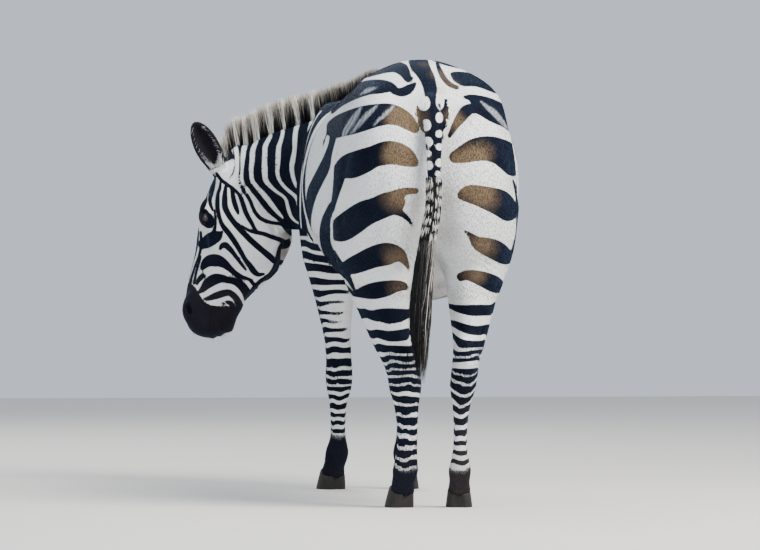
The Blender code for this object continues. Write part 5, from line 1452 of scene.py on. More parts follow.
class Net:
    """A few short ways of making shader nodes."""

    def __init__(self, nt):
        self.nt = nt

    def put(self, where, v):
        if isinstance(v, bpy.types.NodeSocket):
            self.nt.links.new(v, where)
        else:
            where.default_value = v

    def attr(self, name, out='Fac'):
        n = self.nt.nodes.new('ShaderNodeAttribute')
        n.attribute_name = name
        return n.outputs[out]

    def math(self, op, a, b=0.0, c=None, clamp=False):
        n = self.nt.nodes.new('ShaderNodeMath')
        n.operation, n.use_clamp = op, clamp
        self.put(n.inputs[0], a)
        self.put(n.inputs[1], b)
        if c is not None:
            self.put(n.inputs[2], c)
        return n.outputs[0]

    def noise(self, vec, scale, detail=2.0, rough=0.5):
        n = self.nt.nodes.new('ShaderNodeTexNoise')
        self.put(n.inputs['Vector'], vec)
        n.inputs['Scale'].default_value = scale
        n.inputs['Detail'].default_value = detail
        n.inputs['Roughness'].default_value = rough
        return n.outputs['Fac']

    def mapping(self, vec, scale=(1, 1, 1), rot=(0, 0, 0)):
        n = self.nt.nodes.new('ShaderNodeMapping')
        self.put(n.inputs['Vector'], vec)
        n.inputs['Scale'].default_value = scale
        n.inputs['Rotation'].default_value = rot
        return n.outputs[0]

    def band(self, v, lo, hi):
        n = self.nt.nodes.new('ShaderNodeMapRange')
        n.interpolation_type = 'SMOOTHSTEP'
        self.put(n.inputs[0], v)
        n.inputs[1].default_value, n.inputs[2].default_value = lo, hi
        n.inputs[3].default_value, n.inputs[4].default_value = 0.0, 1.0
        return n.outputs[0]

    def mix(self, f, a, b):
        n = self.nt.nodes.new('ShaderNodeMix')
        n.data_type = 'RGBA'
        self.put(n.inputs[0], f)
        self.put(n.inputs[6], a if isinstance(a, bpy.types.NodeSocket) else (*a, 1.0))
        self.put(n.inputs[7], b if isinstance(b, bpy.types.NodeSocket) else (*b, 1.0))
        return n.outputs[2]

    def coord(self, which='Object'):
        return self.nt.nodes.new('ShaderNodeTexCoord').outputs[which]


# ---------------------------------------------------------------- tints of the coat, and painted shade

def soft_blobs(P, rows):
    """Sum of soft ellipsoids: (x, y, z, radius x, y, z, amount)."""
    out = np.zeros(len(P))
    for x, y, z, rx, ry, rz, k in rows:
        q = ((P - (x, y, z)) / (rx, ry, rz))
        out += k * np.clip(1 - (q * q).sum(1) / 1.4, 0, 1) ** 1.5
    return np.clip(out, 0, 1)


def on_rear(px, py, deep=0.0):
    """Place on the skin behind a point of the rear plane, given as left and height in mm."""
    d = unit(px / 1000 * LEFTWARD + np.array((0, 0, py / 1000)) - VIEWPOINT)
    hit = BVH.ray_cast(Vector(VIEWPOINT), Vector(d))
    return np.array(hit[0][:]) if hit[0] is not None else None


def tint_rows(table):
    rows = []
    for l, z, r, k in table:
        p = on_rear(l, z)
        if p is not None:
            rows.append((*p, r / 1000 * 1.1, r / 1000 * 1.8, r / 1000, k))
    return rows


BROWN_ROWS = tint_rows([(72, 1122, 60, 1.2), (95, 1140, 40, 0.5), (77, 1020, 62, 1.3), (45, 1010, 45, 1.0), (105, 1035, 40, 0.7), (75, 1140, 45, 0.45), (55, 1100, 45, 0.45),
                        (62, 921, 52, 1.0), (100, 905, 50, 0.75), (85, 715, 50, 0.9), (90, 640, 40, 0.5), (110, 740, 40, 0.5),
                        (-110, 1010, 55, 1.0), (-150, 1035, 40, 0.5), (-80, 1000, 40, 0.8), (-125, 935, 60, 1.2), (-165, 900, 45, 0.6),
                        (-140, 770, 48, 0.8), (-125, 690, 45, 0.8), (-160, 750, 45, 0.5), (-25, 1260, 34, 0.6), (-55, 1230, 30, 0.6),
                        (-85, 1110, 34, 0.7), (-62, 1140, 30, 0.6), (20, 1290, 26, 0.25)])
# greyed patches: those on the far side of the throat and low between the thighs under the tail are painted shade; the
# faint ones beside the tail root and on the upper right haunch are a grey tone of the coat
GREY_AND_SHADE_ROWS = tint_rows([(428, 742, 42, 1.0), (420, 800, 34, 0.8), (405, 770, 30, 0.8), (-20, 1215, 26, 0.35), (-95, 1150, 40, 0.35), (45, 890, 60, 0.30), (30, 800, 60, 0.32), (-35, 800, 60, 0.36), (-45, 900, 55, 0.30),
                       (25, 700, 60, 0.34), (-35, 690, 60, 0.36), (60, 620, 50, 0.22), (-70, 600, 50, 0.22), (-20, 645, 60, 0.6)])


def streaks(P, seen):
    """Pale hairs streaked over the black, on the upper haunches."""
    out = np.zeros(len(P))
    i = np.nonzero((seen > 0.5) & (P[:, 1] > -0.8) & (P[:, 2] > 1.0))[0]
    q = rear_plane(P[i])
    for kind, name, pts, wid in STREAKS:
        j, d = dist_to(q, pts, wid * 1.05, 0.01)
        if d is not None:
            run = 0.72 + 0.28 * np.sin(q[j, 0] * 620 + q[j, 1] * 260 + 2 * np.sin(q[j, 1] * 90))
            out[i[j]] = np.maximum(out[i[j]], np.clip(-d / 0.004 + 0.2, 0, 1) * run)
    return out


def tints(P):
    brown = soft_blobs(P, BROWN_ROWS)
    grey = soft_blobs(P, GREY_AND_SHADE_ROWS)
    x, y, z = P.T
    # painted shade: the belly's middle and the insides of the legs are greyed where shade falls under the body; the
    # feet carry dust
    under = np.clip((0.80 - z) / 0.18, 0, 1) * np.clip(1 - np.abs(x) / 0.16, 0, 1) * ((y < -0.15) & (y > -1.0))
    grey = np.maximum(grey, 0.75 * under)
    foot = np.clip((0.20 - z) / 0.14, 0, 1)
    grey = np.maximum(grey, 0.55 * foot)
    brown = np.maximum(brown, 0.16 * np.clip((0.34 - z) / 0.25, 0, 1) * ((x < 0) & (y > -0.5)) + 0.05 * foot)
    rel = P - POLL
    m, f, s = rel @ M, rel @ F, rel @ S
    nose = np.clip((m - 0.385) / 0.05, 0, 1) * np.clip(1 - (m - 0.435) / 0.03, 0, 1) * (np.abs(s) < 0.1) * (f > -0.25)
    brown = np.maximum(brown, 0.10 * nose)
    brown = np.maximum(brown, 0.06 * np.clip((m - 0.42) / 0.03, 0, 1) * (np.abs(s) < 0.1) * (f > -0.30) * (f < 0.10))
    for sd in (1, -1):
        base, tip, e, n, across = ear_frame(sd)
        q = P - base
        ear = (q @ e > 0.01) & (q @ e < 0.2) & (np.abs(q @ across) < 0.06) & (np.abs(q @ n) < 0.05)
        brown = np.where(ear, 0.07, brown)
    # grey holds painted shade under the belly, at the far throat and between the thighs, as well as dust on the feet
    # and grey patches of the coat
    return brown, grey


# ---------------------------------------------------------------- the unwrap

def region_of(P):
    """Parts of the unwrap: 0 trunk, 1 neck, 2 head, 3 to 6 legs, 7 tail, 8 and 9 ears."""
    out = np.zeros(len(P), int)
    d = (P - NECK_CUT) @ NECK_WAY
    rel = P - POLL
    m, f, s = rel @ M, rel @ F, rel @ S
    out[(d > -0.14) & (P[:, 1] < -1.0)] = 1
    out[(d > 0) & (m * 0.633 + f * 0.774 + 0.055 > 0)] = 2
    leg = leg_of(P)
    for i, name in enumerate(LEG_BANDS):
        out[(leg == name) & (P[:, 2] < 0.76)] = 3 + i
    bi, bt, x, y, z, mix = TAIL.local(P)
    out[(np.hypot(x, y) < 0.05) & (P[:, 1] > 0.075)] = 7
    for sd, k in ((1, 8), (-1, 9)):
        base, tip, e, n, across = ear_frame(sd)
        q = P - base
        out[(q @ e > 0.020) & (np.abs(q @ across) < 0.055) & (np.abs(q @ n) < 0.05) & (q @ e < 0.2)] = k
    return out


def unwrap():
    """Every part is laid out from six sides in its own axes; the charts are then packed in the unit square."""
    c = SKIN_CO[TRI].mean(1)
    n = np.cross(SKIN_CO[TRI[:, 1]] - SKIN_CO[TRI[:, 0]], SKIN_CO[TRI[:, 2]] - SKIN_CO[TRI[:, 0]])
    n /= np.maximum(np.linalg.norm(n, axis=1), 1e-12)[:, None]
    reg = region_of(c)
    neck = unit(NECK_WAY)
    frames = {0: np.eye(3), 1: np.array((neck, np.cross((0, 0, 1.0), neck), (0, 0, 1.0))), 2: np.array((M, F, S))}
    scale = {0: 1.0, 1: 1.25, 2: 2.4, 7: 1.8, 8: 2.4, 9: 2.4}
    uv = np.zeros((len(TRI), 3, 2))
    charts = []
    for r in range(10):
        ax = frames.get(r, np.eye(3))
        if r in (8, 9):
            base, tip, e, nn, across = ear_frame(1 if r == 8 else -1)
            ax = np.array((e, nn, across))
        idx = np.nonzero(reg == r)[0]
        if not len(idx):
            continue
        ln = n[idx] @ ax.T
        way = np.argmax(np.abs(ln), 1) * 2 + (ln[np.arange(len(idx)), np.argmax(np.abs(ln), 1)] > 0)
        for w in range(6):
            t = idx[way == w]
            if not len(t):
                continue
            a, b = [(1, 2), (0, 2), (0, 1)][w // 2]
            q = SKIN_CO[TRI[t]] @ ax.T * scale.get(r, 1.5)
            p = np.stack([q[..., a], q[..., b]], -1)
            lo = p.reshape(-1, 2).min(0)
            charts.append([t, p - lo, (p - lo).reshape(-1, 2).max(0)])
    for ch in charts:
        if ch[2][0] < ch[2][1]:
            ch[1], ch[2] = ch[1][..., ::-1], ch[2][::-1]
    charts.sort(key=lambda ch: -ch[2][1])
    k = 0.60
    while True:
        x = y = row = 0.004
        spots, ok = [], True
        row = 0.0
        for t, p, size in charts:
            w, h = size * k + 0.005
            if x + w > 0.998:
                x, y, row = 0.004, y + row, 0.0
            if y + h > 0.998 or w > 0.99:
                ok = False
                break
            spots.append((x, y))
            x += w
            row = max(row, h)
        if ok:
            break
        k *= 0.97
    for (t, p, size), (x, y) in zip(charts, spots):
        uv[t] = p * k + (x, y)
    say('unwrap: charts', len(charts), 'scale', round(k, 3))
    return uv, reg


SKIN_UV, TRI_REGION = unwrap()


def give_uv(me, uv):
    layer = me.uv_layers.new(name='OFBake')
    layer.data.foreach_set('uv', np.ascontiguousarray(uv, np.float32).ravel())


def give(me, name, values):
    a = me.attributes.new(name, 'FLOAT', 'POINT')
    a.data.foreach_set('value', np.ascontiguousarray(values, np.float32))


# phase of the leg bands, which keeps them sharp on the skin
PHASE, ON_LEG = np.full(len(SKIN_CO), 1.5), np.zeros(len(SKIN_CO))
leg_names = leg_of(SKIN_CO)
for name in LEG_BANDS:
    i = np.nonzero(leg_names == name)[0]
    _, ph, thin = band_distance(SKIN_CO[i], name)
    PHASE[i] = ph
    ON_LEG[i] = np.clip((LEG_TOP[name] - 0.015 - SKIN_CO[i, 2]) / 0.012, 0, 1) * ~thin
    if 'fore' in name:
        ON_LEG[i] *= band_end(SKIN_CO[i]) < -0.02
SKIN_BROWN, SKIN_GREY = tints(SKIN_CO)
say('tints')


# ---------------------------------------------------------------- hair: thin tapered locks

def lie(P, N):
    """Which way the coat lies, along the skin."""
    x, y, z = P.T
    flow = np.tile(np.array((0.0, 1.0, -0.42)), (len(P), 1))
    # down over the rump and the thighs, and down the legs
    w = np.clip((y + 0.32) / 0.30, 0, 1)[:, None]
    out = np.sign(x - 0.005)[:, None] * np.array((1.0, 0, 0))
    flow = flow * (1 - w) + (np.array((0, 0.35, -1.0)) + out * 0.18) * w
    w = np.clip((0.78 - z) / 0.14, 0, 1)[:, None] * ((y > -0.42) | (y < -0.92))[:, None]
    flow = flow * (1 - w) + np.array((0, 0.12, -1.0)) * w
    bi, bt, lx, ly, lz, mix = NECK_TUBE.local(P)
    pos = (bi + bt) / (len(NECK_TUBE.c) - 1)
    w = np.clip((pos - 0.05) / 0.25, 0, 1)[:, None] * (P[:, 1] < -0.95)[:, None] * (z > 0.60)[:, None]
    flow = flow * (1 - w) + (-0.75 * unit(mix(NECK_TUBE.tan)) + np.array((0, 0, -0.65))) * w
    rel = P - POLL
    m, f, s = rel @ M, rel @ F, rel @ S
    w = np.clip((m * 0.633 + f * 0.774 + 0.06) / 0.03, 0, 1)[:, None] * ((P - NECK_CUT) @ NECK_WAY > 0.05)[:, None]
    face = M[None] * 1.0 - F[None] * (0.55 * np.clip(-(f + 0.03) / 0.10, 0, 1))[:, None]
    # a whorl between the eyes, and hair that runs round the eye
    face = face + S[None] * (0.5 * np.sign(s) * np.clip(1 - np.abs(m - 0.16) / 0.08, 0, 1) * np.clip((f + 0.06) / 0.05, 0, 1))[:, None]
    flow = flow * (1 - w) + face * w
    for sd in (1, -1):
        base, tip, e, n, across = ear_frame(sd)
        q = P - base
        on = (q @ e > 0.0) & (np.abs(q @ across) < 0.055) & (np.abs(q @ n) < 0.05) & (q @ e < 0.2)
        flow[on] = e
    t = (np.hypot(*(TAIL.local(P)[2:4])) < 0.05) & (y > 0.06)
    flow[t] = (0, 0.05, -1)
    flow = flow - (flow * N).sum(1)[:, None] * N
    return flow / np.maximum(np.linalg.norm(flow, axis=1), 1e-6)[:, None]


TRI_AREA = 0.5 * np.linalg.norm(np.cross(SKIN_CO[TRI[:, 1]] - SKIN_CO[TRI[:, 0]], SKIN_CO[TRI[:, 2]] - SKIN_CO[TRI[:, 0]]), axis=1)


def scatter(n, weight, rng):
    """n places on the skin: point, normal, face, position on the unwrap."""
    w = TRI_AREA * weight
    cum = np.cumsum(w)
    pick = np.searchsorted(cum, (np.arange(n) + rng.random(n)) / n * cum[-1])
    pick = np.clip(pick, 0, len(TRI) - 1)
    a, b = rng.random(n), rng.random(n)
    f = a + b > 1
    a[f], b[f] = 1 - a[f], 1 - b[f]
    bc = np.stack([1 - a - b, a, b], 1)
    P = (SKIN_CO[TRI[pick]] * bc[..., None]).sum(1)
    N = unit((SKIN_NO[TRI[pick]] * bc[..., None]).sum(1))
    U = (SKIN_UV[pick] * bc[..., None]).sum(1)
    return P, N, pick, U, (SEEN_SKIN[TRI[pick]] * bc).sum(1)


def flat_tufts(name, P, N, D, length, width, thick, lift, U, fields, mat, rng):
    """Four-sided closed slivers lying along D with raised tips."""
    n = len(P)
    side = np.cross(N, D)
    twist = rng.normal(0, 0.16, n)
    D2 = unit(D * np.cos(twist)[:, None] + side * np.sin(twist)[:, None])
    side = np.cross(N, D2)
    L = length[:, None]
    V = np.stack([P - side * width[:, None] / 2 - N * 0.0005,
                  P + side * width[:, None] / 2 - N * 0.0005,
                  P + N * thick[:, None] + D2 * L * 0.22,
                  P + D2 * L + N * lift[:, None]], 1)
    i = np.arange(n)[:, None] * 4
    F4 = np.concatenate([i + (1, 0, 2), i + (0, 3, 2), i + (3, 1, 2), i + (0, 1, 3)], 1).reshape(-1, 3)
    ob = piece(name, (V + SHIFT).reshape(-1, 3), F4)
    me = ob.data
    r = 0.0014
    corner = np.array([(-r, -r), (r, -r), (0, 0.3 * r), (0, r)])
    uvs = (U[:, None] + corner[None])
    loops = uvs[:, [1, 0, 2, 0, 3, 2, 3, 1, 2, 0, 1, 3]]
    give_uv(me, loops)
    for k, v in fields.items():
        give(me, k, (v if v.ndim == 2 else np.repeat(v[:, None], 4, 1)).ravel())
    me.materials.append(mat)
    return ob


def strands(name, paths, widths, U, fields, mat, flatten=0.6, rng=RNG):
    """Closed three-sided locks along paths (n, k, 3) with widths (n, k); the last point is the tip."""
    n, k, _ = paths.shape
    tan = np.gradient(paths, axis=1)
    tan = tan / np.maximum(np.linalg.norm(tan, axis=2), 1e-9)[..., None]
    ref = unit(rng.normal(0, 1, (n, 1, 3)))
    a = np.cross(tan, ref)
    a = a / np.maximum(np.linalg.norm(a, axis=2), 1e-6)[..., None]
    b = np.cross(tan, a)
    w = widths[..., None] / 2
    ring = np.stack([paths + a * w, paths - a * w * 0.5 + b * w * flatten, paths - a * w * 0.5 - b * w * flatten], 2)[:, :-1]
    V = np.concatenate([ring.reshape(n, -1, 3), paths[:, -1:]], 1)
    m = V.shape[1]
    faces = [(2, 1, 0)]
    for j in range(k - 2):
        for c in range(3):
            p, q = j * 3 + c, j * 3 + (c + 1) % 3
            faces += [(p, q, q + 3), (p, q + 3, p + 3)]
    j = (k - 2) * 3
    faces += [(j + c, j + (c + 1) % 3, m - 1) for c in range(3)]
    faces = np.array(faces)
    F = (np.arange(n)[:, None, None] * m + faces[None]).reshape(-1, 3)
    ob = piece(name, (V + SHIFT).reshape(-1, 3), F)
    me = ob.data
    t = np.concatenate([np.repeat(np.linspace(0, 1, k)[:-1], 3), [1.0]])
    c = np.concatenate([np.tile((-1.0, 1.0, 0.0), k - 1), [0.0]])
    corner = np.stack([c * 0.0013, (t - 0.5) * 0.0026], 1)
    uv = U[:, None] + corner[None]
    give_uv(me, uv[:, faces.ravel()])
    give(me, 'along', np.tile(t, n))
    for key, v in fields.items():
        if v.ndim == 2:
            v = np.concatenate([np.repeat(v[:, :-1], 3, 1), v[:, -1:]], 1)
            give(me, key, v.ravel())
        else:
            give(me, key, np.repeat(v, m))
    me.materials.append(mat)
    return ob


def coat_ride(ob, slot='coat', *nodes):
    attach(ob, "root")
    if nodes:
        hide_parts(*nodes)
    return ob


# ---------------------------------------------------------------- materials of the coat and the hair

# the blue in both blacks is painted sky reflection on the black hair; the noise between the two is a random tone of the
# coat
BLACK_A, BLACK_B = (0.0026, 0.0036, 0.0085), (0.0048, 0.0064, 0.0140)
WHITE_A, WHITE_B, WHITE_DIM = (0.80, 0.795, 0.775), (0.70, 0.72, 0.735), (0.53, 0.53, 0.525)
# GREY is what the white turns to under painted shade, under dust on the feet and in the coat's grey patches
GREY, BROWN = (0.250, 0.220, 0.195), (0.150, 0.103, 0.060)

STREAK = (0.42, 0.44, 0.47)


def finish_hair(net, b, col, rough, sheen, spec=0.30):
    net.nt.links.new(col, b.inputs['Base Color'])
    b.inputs['Roughness'].default_value = rough
    b.inputs['Specular IOR Level'].default_value = spec
    b.inputs['Sheen Weight'].default_value = sheen
    b.inputs['Sheen Roughness'].default_value = 0.45
    # the sheen's blue tint is painted sky reflection; the sheen itself answers the lamps
    b.inputs['Sheen Tint'].default_value = (0.22, 0.48, 1.0, 1.0)


def coat_colour(net, ink, brown, grey, vec, streak, shade=None):
    """Black and white coat from the signed distance to the stripe's edge, in metres."""
    fine = net.noise(vec, 330, 2, 0.6)
    broad = net.noise(vec, 15, 3, 0.55)
    d = net.math('ADD', ink, net.math('MULTIPLY', net.math('SUBTRACT', fine, 0.5), 0.0030))
    black = net.band(net.math('MULTIPLY', d, -1.0), -0.0013, 0.0013)
    white = net.mix(broad, WHITE_A, WHITE_B)
    white = net.mix(net.math('MULTIPLY', net.band(fine, 0.40, 0.75), 0.35), white, WHITE_DIM)
    # painted shade and dust turn the white grey
    white = net.mix(grey, white, GREY)
    dark = net.mix(net.band(broad, 0.35, 0.75), BLACK_A, BLACK_B)
    dark = net.mix(net.math('MULTIPLY', brown, net.band(fine, -0.05, 0.70)), dark, BROWN)
    dark = net.mix(net.math('MULTIPLY', streak, net.band(fine, 0.05, 0.65)), dark, STREAK)
    col = net.mix(black, white, dark)
    if shade is not None:
        n = net.nt.nodes.new('ShaderNodeHueSaturation')
        net.put(n.inputs['Value'], shade)
        net.put(n.inputs['Color'], col)
        col = n.outputs[0]
    return col


def skin_material():
    m, nt, b = new_material('skin')
    net = Net(nt)
    vec = net.coord()
    # on the legs the bands come from their phase
    ph = net.math('PINGPONG', net.math('ADD', net.attr('phase'), 0.5), 1.0)
    leg = net.math('MULTIPLY', net.math('SUBTRACT', 0.5, ph), -0.030)
    leg = net.math('MULTIPLY', net.math('SUBTRACT', net.math('ABSOLUTE', net.math('SUBTRACT', net.math('MODULO', net.attr('phase'), 2.0), 0.5)), 0.5), 0.030)
    w = net.attr('on_leg')
    ink = net.math('ADD', net.math('MULTIPLY', net.attr('ink'), net.math('SUBTRACT', 1.0, w)), net.math('MULTIPLY', leg, w))
    col = coat_colour(net, ink, net.attr('brown'), net.attr('grey'), vec, net.attr('streak'))
    finish_hair(net, b, col, 0.70, 0.075, 0.05)
    bump = nt.nodes.new('ShaderNodeBump')
    bump.inputs['Strength'].default_value = 0.4
    bump.inputs['Distance'].default_value = 0.0010
    nt.links.new(net.noise(net.mapping(vec, (1, 1, 0.4)), 650, 2, 0.6), bump.inputs['Height'])
    nt.links.new(bump.outputs[0], b.inputs['Normal'])
    return m


def tuft_material():
    m, nt, b = new_material('coat_hair')
    net = Net(nt)
    col = coat_colour(net, net.attr('ink'), net.attr('brown'), net.attr('grey'), net.coord(), net.attr('streak'), net.attr('shade'))
    finish_hair(net, b, col, 0.66, 0.075, 0.06)
    return m


def mane_material():
    m, nt, b = new_material('mane_hair')
    net = Net(nt)
    t = net.attr('along')
    black = net.band(net.math('MULTIPLY', net.attr('ink'), -1.0), -0.0013, 0.0013)
    root = net.mix(black, (0.66, 0.64, 0.60), (0.007, 0.007, 0.009))
    tip = net.mix(black, (0.77, 0.72, 0.63), (0.35, 0.32, 0.28))
    col = net.mix(net.band(net.math('ADD', t, net.attr('mix')), 0.30, 0.92), root, tip)
    n = nt.nodes.new('ShaderNodeHueSaturation')
    net.put(n.inputs['Value'], net.attr('shade'))
    net.put(n.inputs['Color'], col)
    finish_hair(net, b, n.outputs[0], 0.5, 0.0, 0.15)
    return m


def tail_material():
    m, nt, b = new_material('tail_hair')
    net = Net(nt)
    g = net.attr('mix')
    col = net.mix(net.band(g, 0.40, 0.62), (0.006, 0.006, 0.008), (0.055, 0.048, 0.043))
    col = net.mix(net.band(g, 0.72, 0.88), col, (0.52, 0.51, 0.49))
    n = nt.nodes.new('ShaderNodeHueSaturation')
    net.put(n.inputs['Value'], net.attr('shade'))
    net.put(n.inputs['Color'], col)
    finish_hair(net, b, n.outputs[0], 0.42, 0.0, 0.2)
    return m


SKIN_MAT, TUFT_MAT, MANE_MAT, TAIL_MAT = skin_material(), tuft_material(), mane_material(), tail_material()

# ---------------------------------------------------------------- the skin itself

skin_ob = piece('skin', SKIN_CO + SHIFT, TRI)
me = skin_ob.data
give_uv(me, SKIN_UV)
for key, val in (('ink', SKIN_INK), ('brown', SKIN_BROWN), ('grey', SKIN_GREY), ('phase', PHASE), ('on_leg', ON_LEG),
                 ('streak', streaks(SKIN_CO, SEEN_SKIN))):
    give(me, key, val)
me.materials.append(SKIN_MAT)
coat_ride(skin_ob, 'coat', 'trunk', 'neck', 'head', 'ear_left', 'ear_right', 'leg_fore_left', 'leg_fore_right',
          'leg_hind_left', 'leg_hind_right', 'tail_dock')
say('skin piece')

# ---------------------------------------------------------------- the short coat

# region: tufts, length, width, thickness, lift (mm); the regions are those of the unwrap
COAT = {'trunk_rear': (49000, 11.0, 2.6, 0.30, 0.75), 'trunk_front': (46000, 12.5, 3.0, 0.35, 0.9), 'trunk_low': (26000, 13.0, 3.2, 0.45, 1.3),
        'neck': (34000, 9.5, 2.3, 0.32, 0.9), 'head': (46000, 5.2, 1.35, 0.20, 0.40), 'legs_hind': (36000, 7.6, 2.0, 0.30, 0.7),
        'legs_fore': (32000, 7.4, 1.9, 0.30, 0.7)}


def coat_weights():
    c = SKIN_CO[TRI].mean(1)
    r = TRI_REGION
    trunk = (r == 0) | (r == 7)
    return {'trunk_rear': trunk & (c[:, 1] > -0.34) & (c[:, 2] > 0.66), 'trunk_front': trunk & (c[:, 1] <= -0.34) & (c[:, 2] > 0.80),
            'trunk_low': trunk & ~((c[:, 1] > -0.34) & (c[:, 2] > 0.66)) & ~((c[:, 1] <= -0.34) & (c[:, 2] > 0.80)),
            'neck': r == 1, 'head': (r == 2) | (r == 8) | (r == 9), 'legs_hind': (r == 3) | (r == 4), 'legs_fore': (r == 5) | (r == 6)}


def grow_coat():
    total = 0
    weights = coat_weights()
    for key, (n, length, width, thick, lift) in COAT.items():
        rng = np.random.default_rng(len(key) * 7 + n)
        w = weights[key].astype(float)
        if key == 'head':
            c = SKIN_CO[TRI].mean(1)
            for sd in (1, -1):
                e = hd(EYE_AT[0], EYE_AT[1], sd * (EYE_AT[2] + 0.012))
                w *= np.where(np.linalg.norm(c - e, axis=1) < 0.0185, 0.0, 1.0)
                w *= np.where(np.linalg.norm(c - hd(0.502, -0.018, sd * 0.052), axis=1) < 0.013, 0.0, 1.0)
            w *= np.where((c - POLL) @ M > 0.42, 0.75, 1.0)
        P, N, pick, U, seen = scatter(n, w, rng)
        D = lie(P, N)
        l = length / 1000 * rng.uniform(0.75, 1.25, n)
        if key == 'head':
            rel = P - POLL
            m = rel @ M
            l *= np.interp(m, (-0.1, 0.0, 0.10, 0.25, 0.42, 0.60), (1.5, 1.4, 1.0, 0.95, 0.75, 0.6))
            ear = (TRI_REGION[pick] >= 8)
            l[ear] *= 1.15
        if key.startswith('legs'):
            l *= np.interp(P[:, 2], (0.0, 0.09, 0.2, 0.6), (1.7, 1.3, 0.95, 1.15))
        ink0 = ink_at(P, seen)
        ink1 = ink_at(P + D * l[:, None] * 0.9, seen)
        brown, grey = tints(P)
        ink = np.stack([ink0, ink0, ink0 * 0.7 + ink1 * 0.3, ink1], 1)
        shade = np.clip(rng.normal(1.0, 0.10, n), 0.7, 1.3)
        wd = width / 1000 * rng.uniform(0.75, 1.25, n)
        th = thick / 1000 * rng.uniform(0.7, 1.3, n)
        lf = lift / 1000 * rng.uniform(0.4, 1.5, n)
        ob = flat_tufts('coat_' + key, P, N, D, l, wd, th, lf, U,
                        {'ink': ink, 'brown': brown, 'grey': grey, 'shade': shade, 'streak': streaks(P, seen)}, TUFT_MAT, rng)
        coat_ride(ob)
        total += n * 4
        say('coat', key, n * 4)
    return total


grow_coat()


# ---------------------------------------------------------------- mane

def on_skin(p):
    """Nearest place of the skin: point, normal, place on the unwrap, whether it shows from behind."""
    hit = BVH.find_nearest(Vector(p))
    t = TRI[hit[2]]
    a, b, c = SKIN_CO[t]
    q = np.array(hit[0][:])
    u = np.linalg.lstsq(np.stack([b - a, c - a], 1), q - a, rcond=None)[0]
    w = np.clip(np.array((1 - u.sum(), u[0], u[1])), 0, 1)
    w /= w.sum()
    return q, unit((SKIN_NO[t] * w[:, None]).sum(0)), (SKIN_UV[hit[2]] * w[:, None]).sum(0), float((SEEN_SKIN[t] * w).sum())


def grow_mane(n=5600):
    rng = np.random.default_rng(21)
    path = spline([(0.045, -0.978), (0.106, -1.083), (0.187, -1.186), (0.270, -1.273), (0.354, -1.351),
                   (0.428, -1.415), (0.485, -1.458), (0.513, -1.478), (0.532, -1.491)], 6)
    step = np.r_[0, np.cumsum(np.linalg.norm(np.diff(path, axis=0), axis=1))]
    step /= step[-1]
    index = np.linspace(0, 1, len(path))
    tan = np.gradient(path, axis=0)
    tan /= np.linalg.norm(tan, axis=1)[:, None]
    t = np.sort(rng.random(n)) * 0.995
    x, y = np.interp(t, step, path[:, 0]), np.interp(t, step, path[:, 1])
    tx, ty = np.interp(t, step, tan[:, 0]), np.interp(t, step, tan[:, 1])
    ti = np.interp(t, step, index)
    T = np.stack([tx, ty, np.zeros(n)], 1)
    Sd = np.stack([ty, -tx, np.zeros(n)], 1)
    a = np.clip(rng.normal(0, 0.5, n), -1, 1)
    half_w = np.interp(ti, (0, 0.15, 0.9, 1.0), (0.006, 0.013, 0.013, 0.009))
    h = np.interp(ti, (0, 0.12, 0.30, 0.55, 0.80, 0.93, 1.0), (0.015, 0.050, 0.093, 0.102, 0.095, 0.077, 0.050))
    root = np.stack([x, y, np.zeros(n)], 1) + Sd * (a * half_w)[:, None]
    uvs, seen = np.zeros((n, 2)), np.zeros(n)
    for i in range(n):
        hit = BVH.ray_cast(Vector((root[i, 0], root[i, 1], 1.5)), Vector((0, 0, -1)))
        root[i, 2] = hit[0][2]
        uvs[i] = SKIN_UV[hit[2]].mean(0)
        seen[i] = SEEN_SKIN[TRI[hit[2]]].mean()
    side_point = root - Sd * 0.012 - np.array((0, 0, 0.012))
    ink = ink_at(side_point, np.ones(n))
    white = ink > 0
    clump = rng.normal(0, 1, 90)
    clump2 = rng.normal(0, 1, 90)
    c = np.interp(t * 89, np.arange(90), clump)
    c2 = clump2[(t * 89).astype(int)]
    length = h * rng.uniform(0.80, 1.03, n) * np.where(np.abs(a) > 0.75, 0.88, 1.0) + 0.004
    length *= 1 - 0.05 * np.abs(c2) * rng.random(n)
    lean = (0.02 + 0.10 * ti)[:, None] * T + Sd * (a * 0.10 + 0.03 * c + rng.normal(0, 0.05, n))[:, None] + T * (0.05 * c2 + rng.normal(0, 0.05, n))[:, None]
    k = 5
    q = np.linspace(0, 1, k)
    up = np.array((0, 0, 1.0))
    bend = rng.normal(0, 0.03, (n, 3)) * (1, 1, 0)
    paths = root[:, None] - up * 0.005 + (q[None, :, None] * (up + lean)[:, None] + (q[None, :, None] ** 2) * bend[:, None]) * length[:, None, None]
    w0 = rng.uniform(0.0018, 0.0032, n)
    widths = w0[:, None] * np.interp(q, (0, 0.5, 0.85, 1), (1, 0.85, 0.45, 0.15))[None]
    shade = np.clip(rng.normal(1.0, 0.16, n), 0.6, 1.5)
    # where the mane rises from the withers it is darker, and its tips are paler towards the head
    mix = rng.normal(0, 0.13, n) + np.interp(ti, (0, 0.25, 0.6, 1), (-0.22, -0.10, 0.06, 0.10))
    ob = strands('mane_hair', paths, widths, uvs, {'ink': ink, 'shade': shade, 'mix': mix}, MANE_MAT, rng=rng)
    coat_ride(ob, 'mane_hair', 'mane')
    say('mane', len(ob.data.polygons))


grow_mane()


# ---------------------------------------------------------------- tail

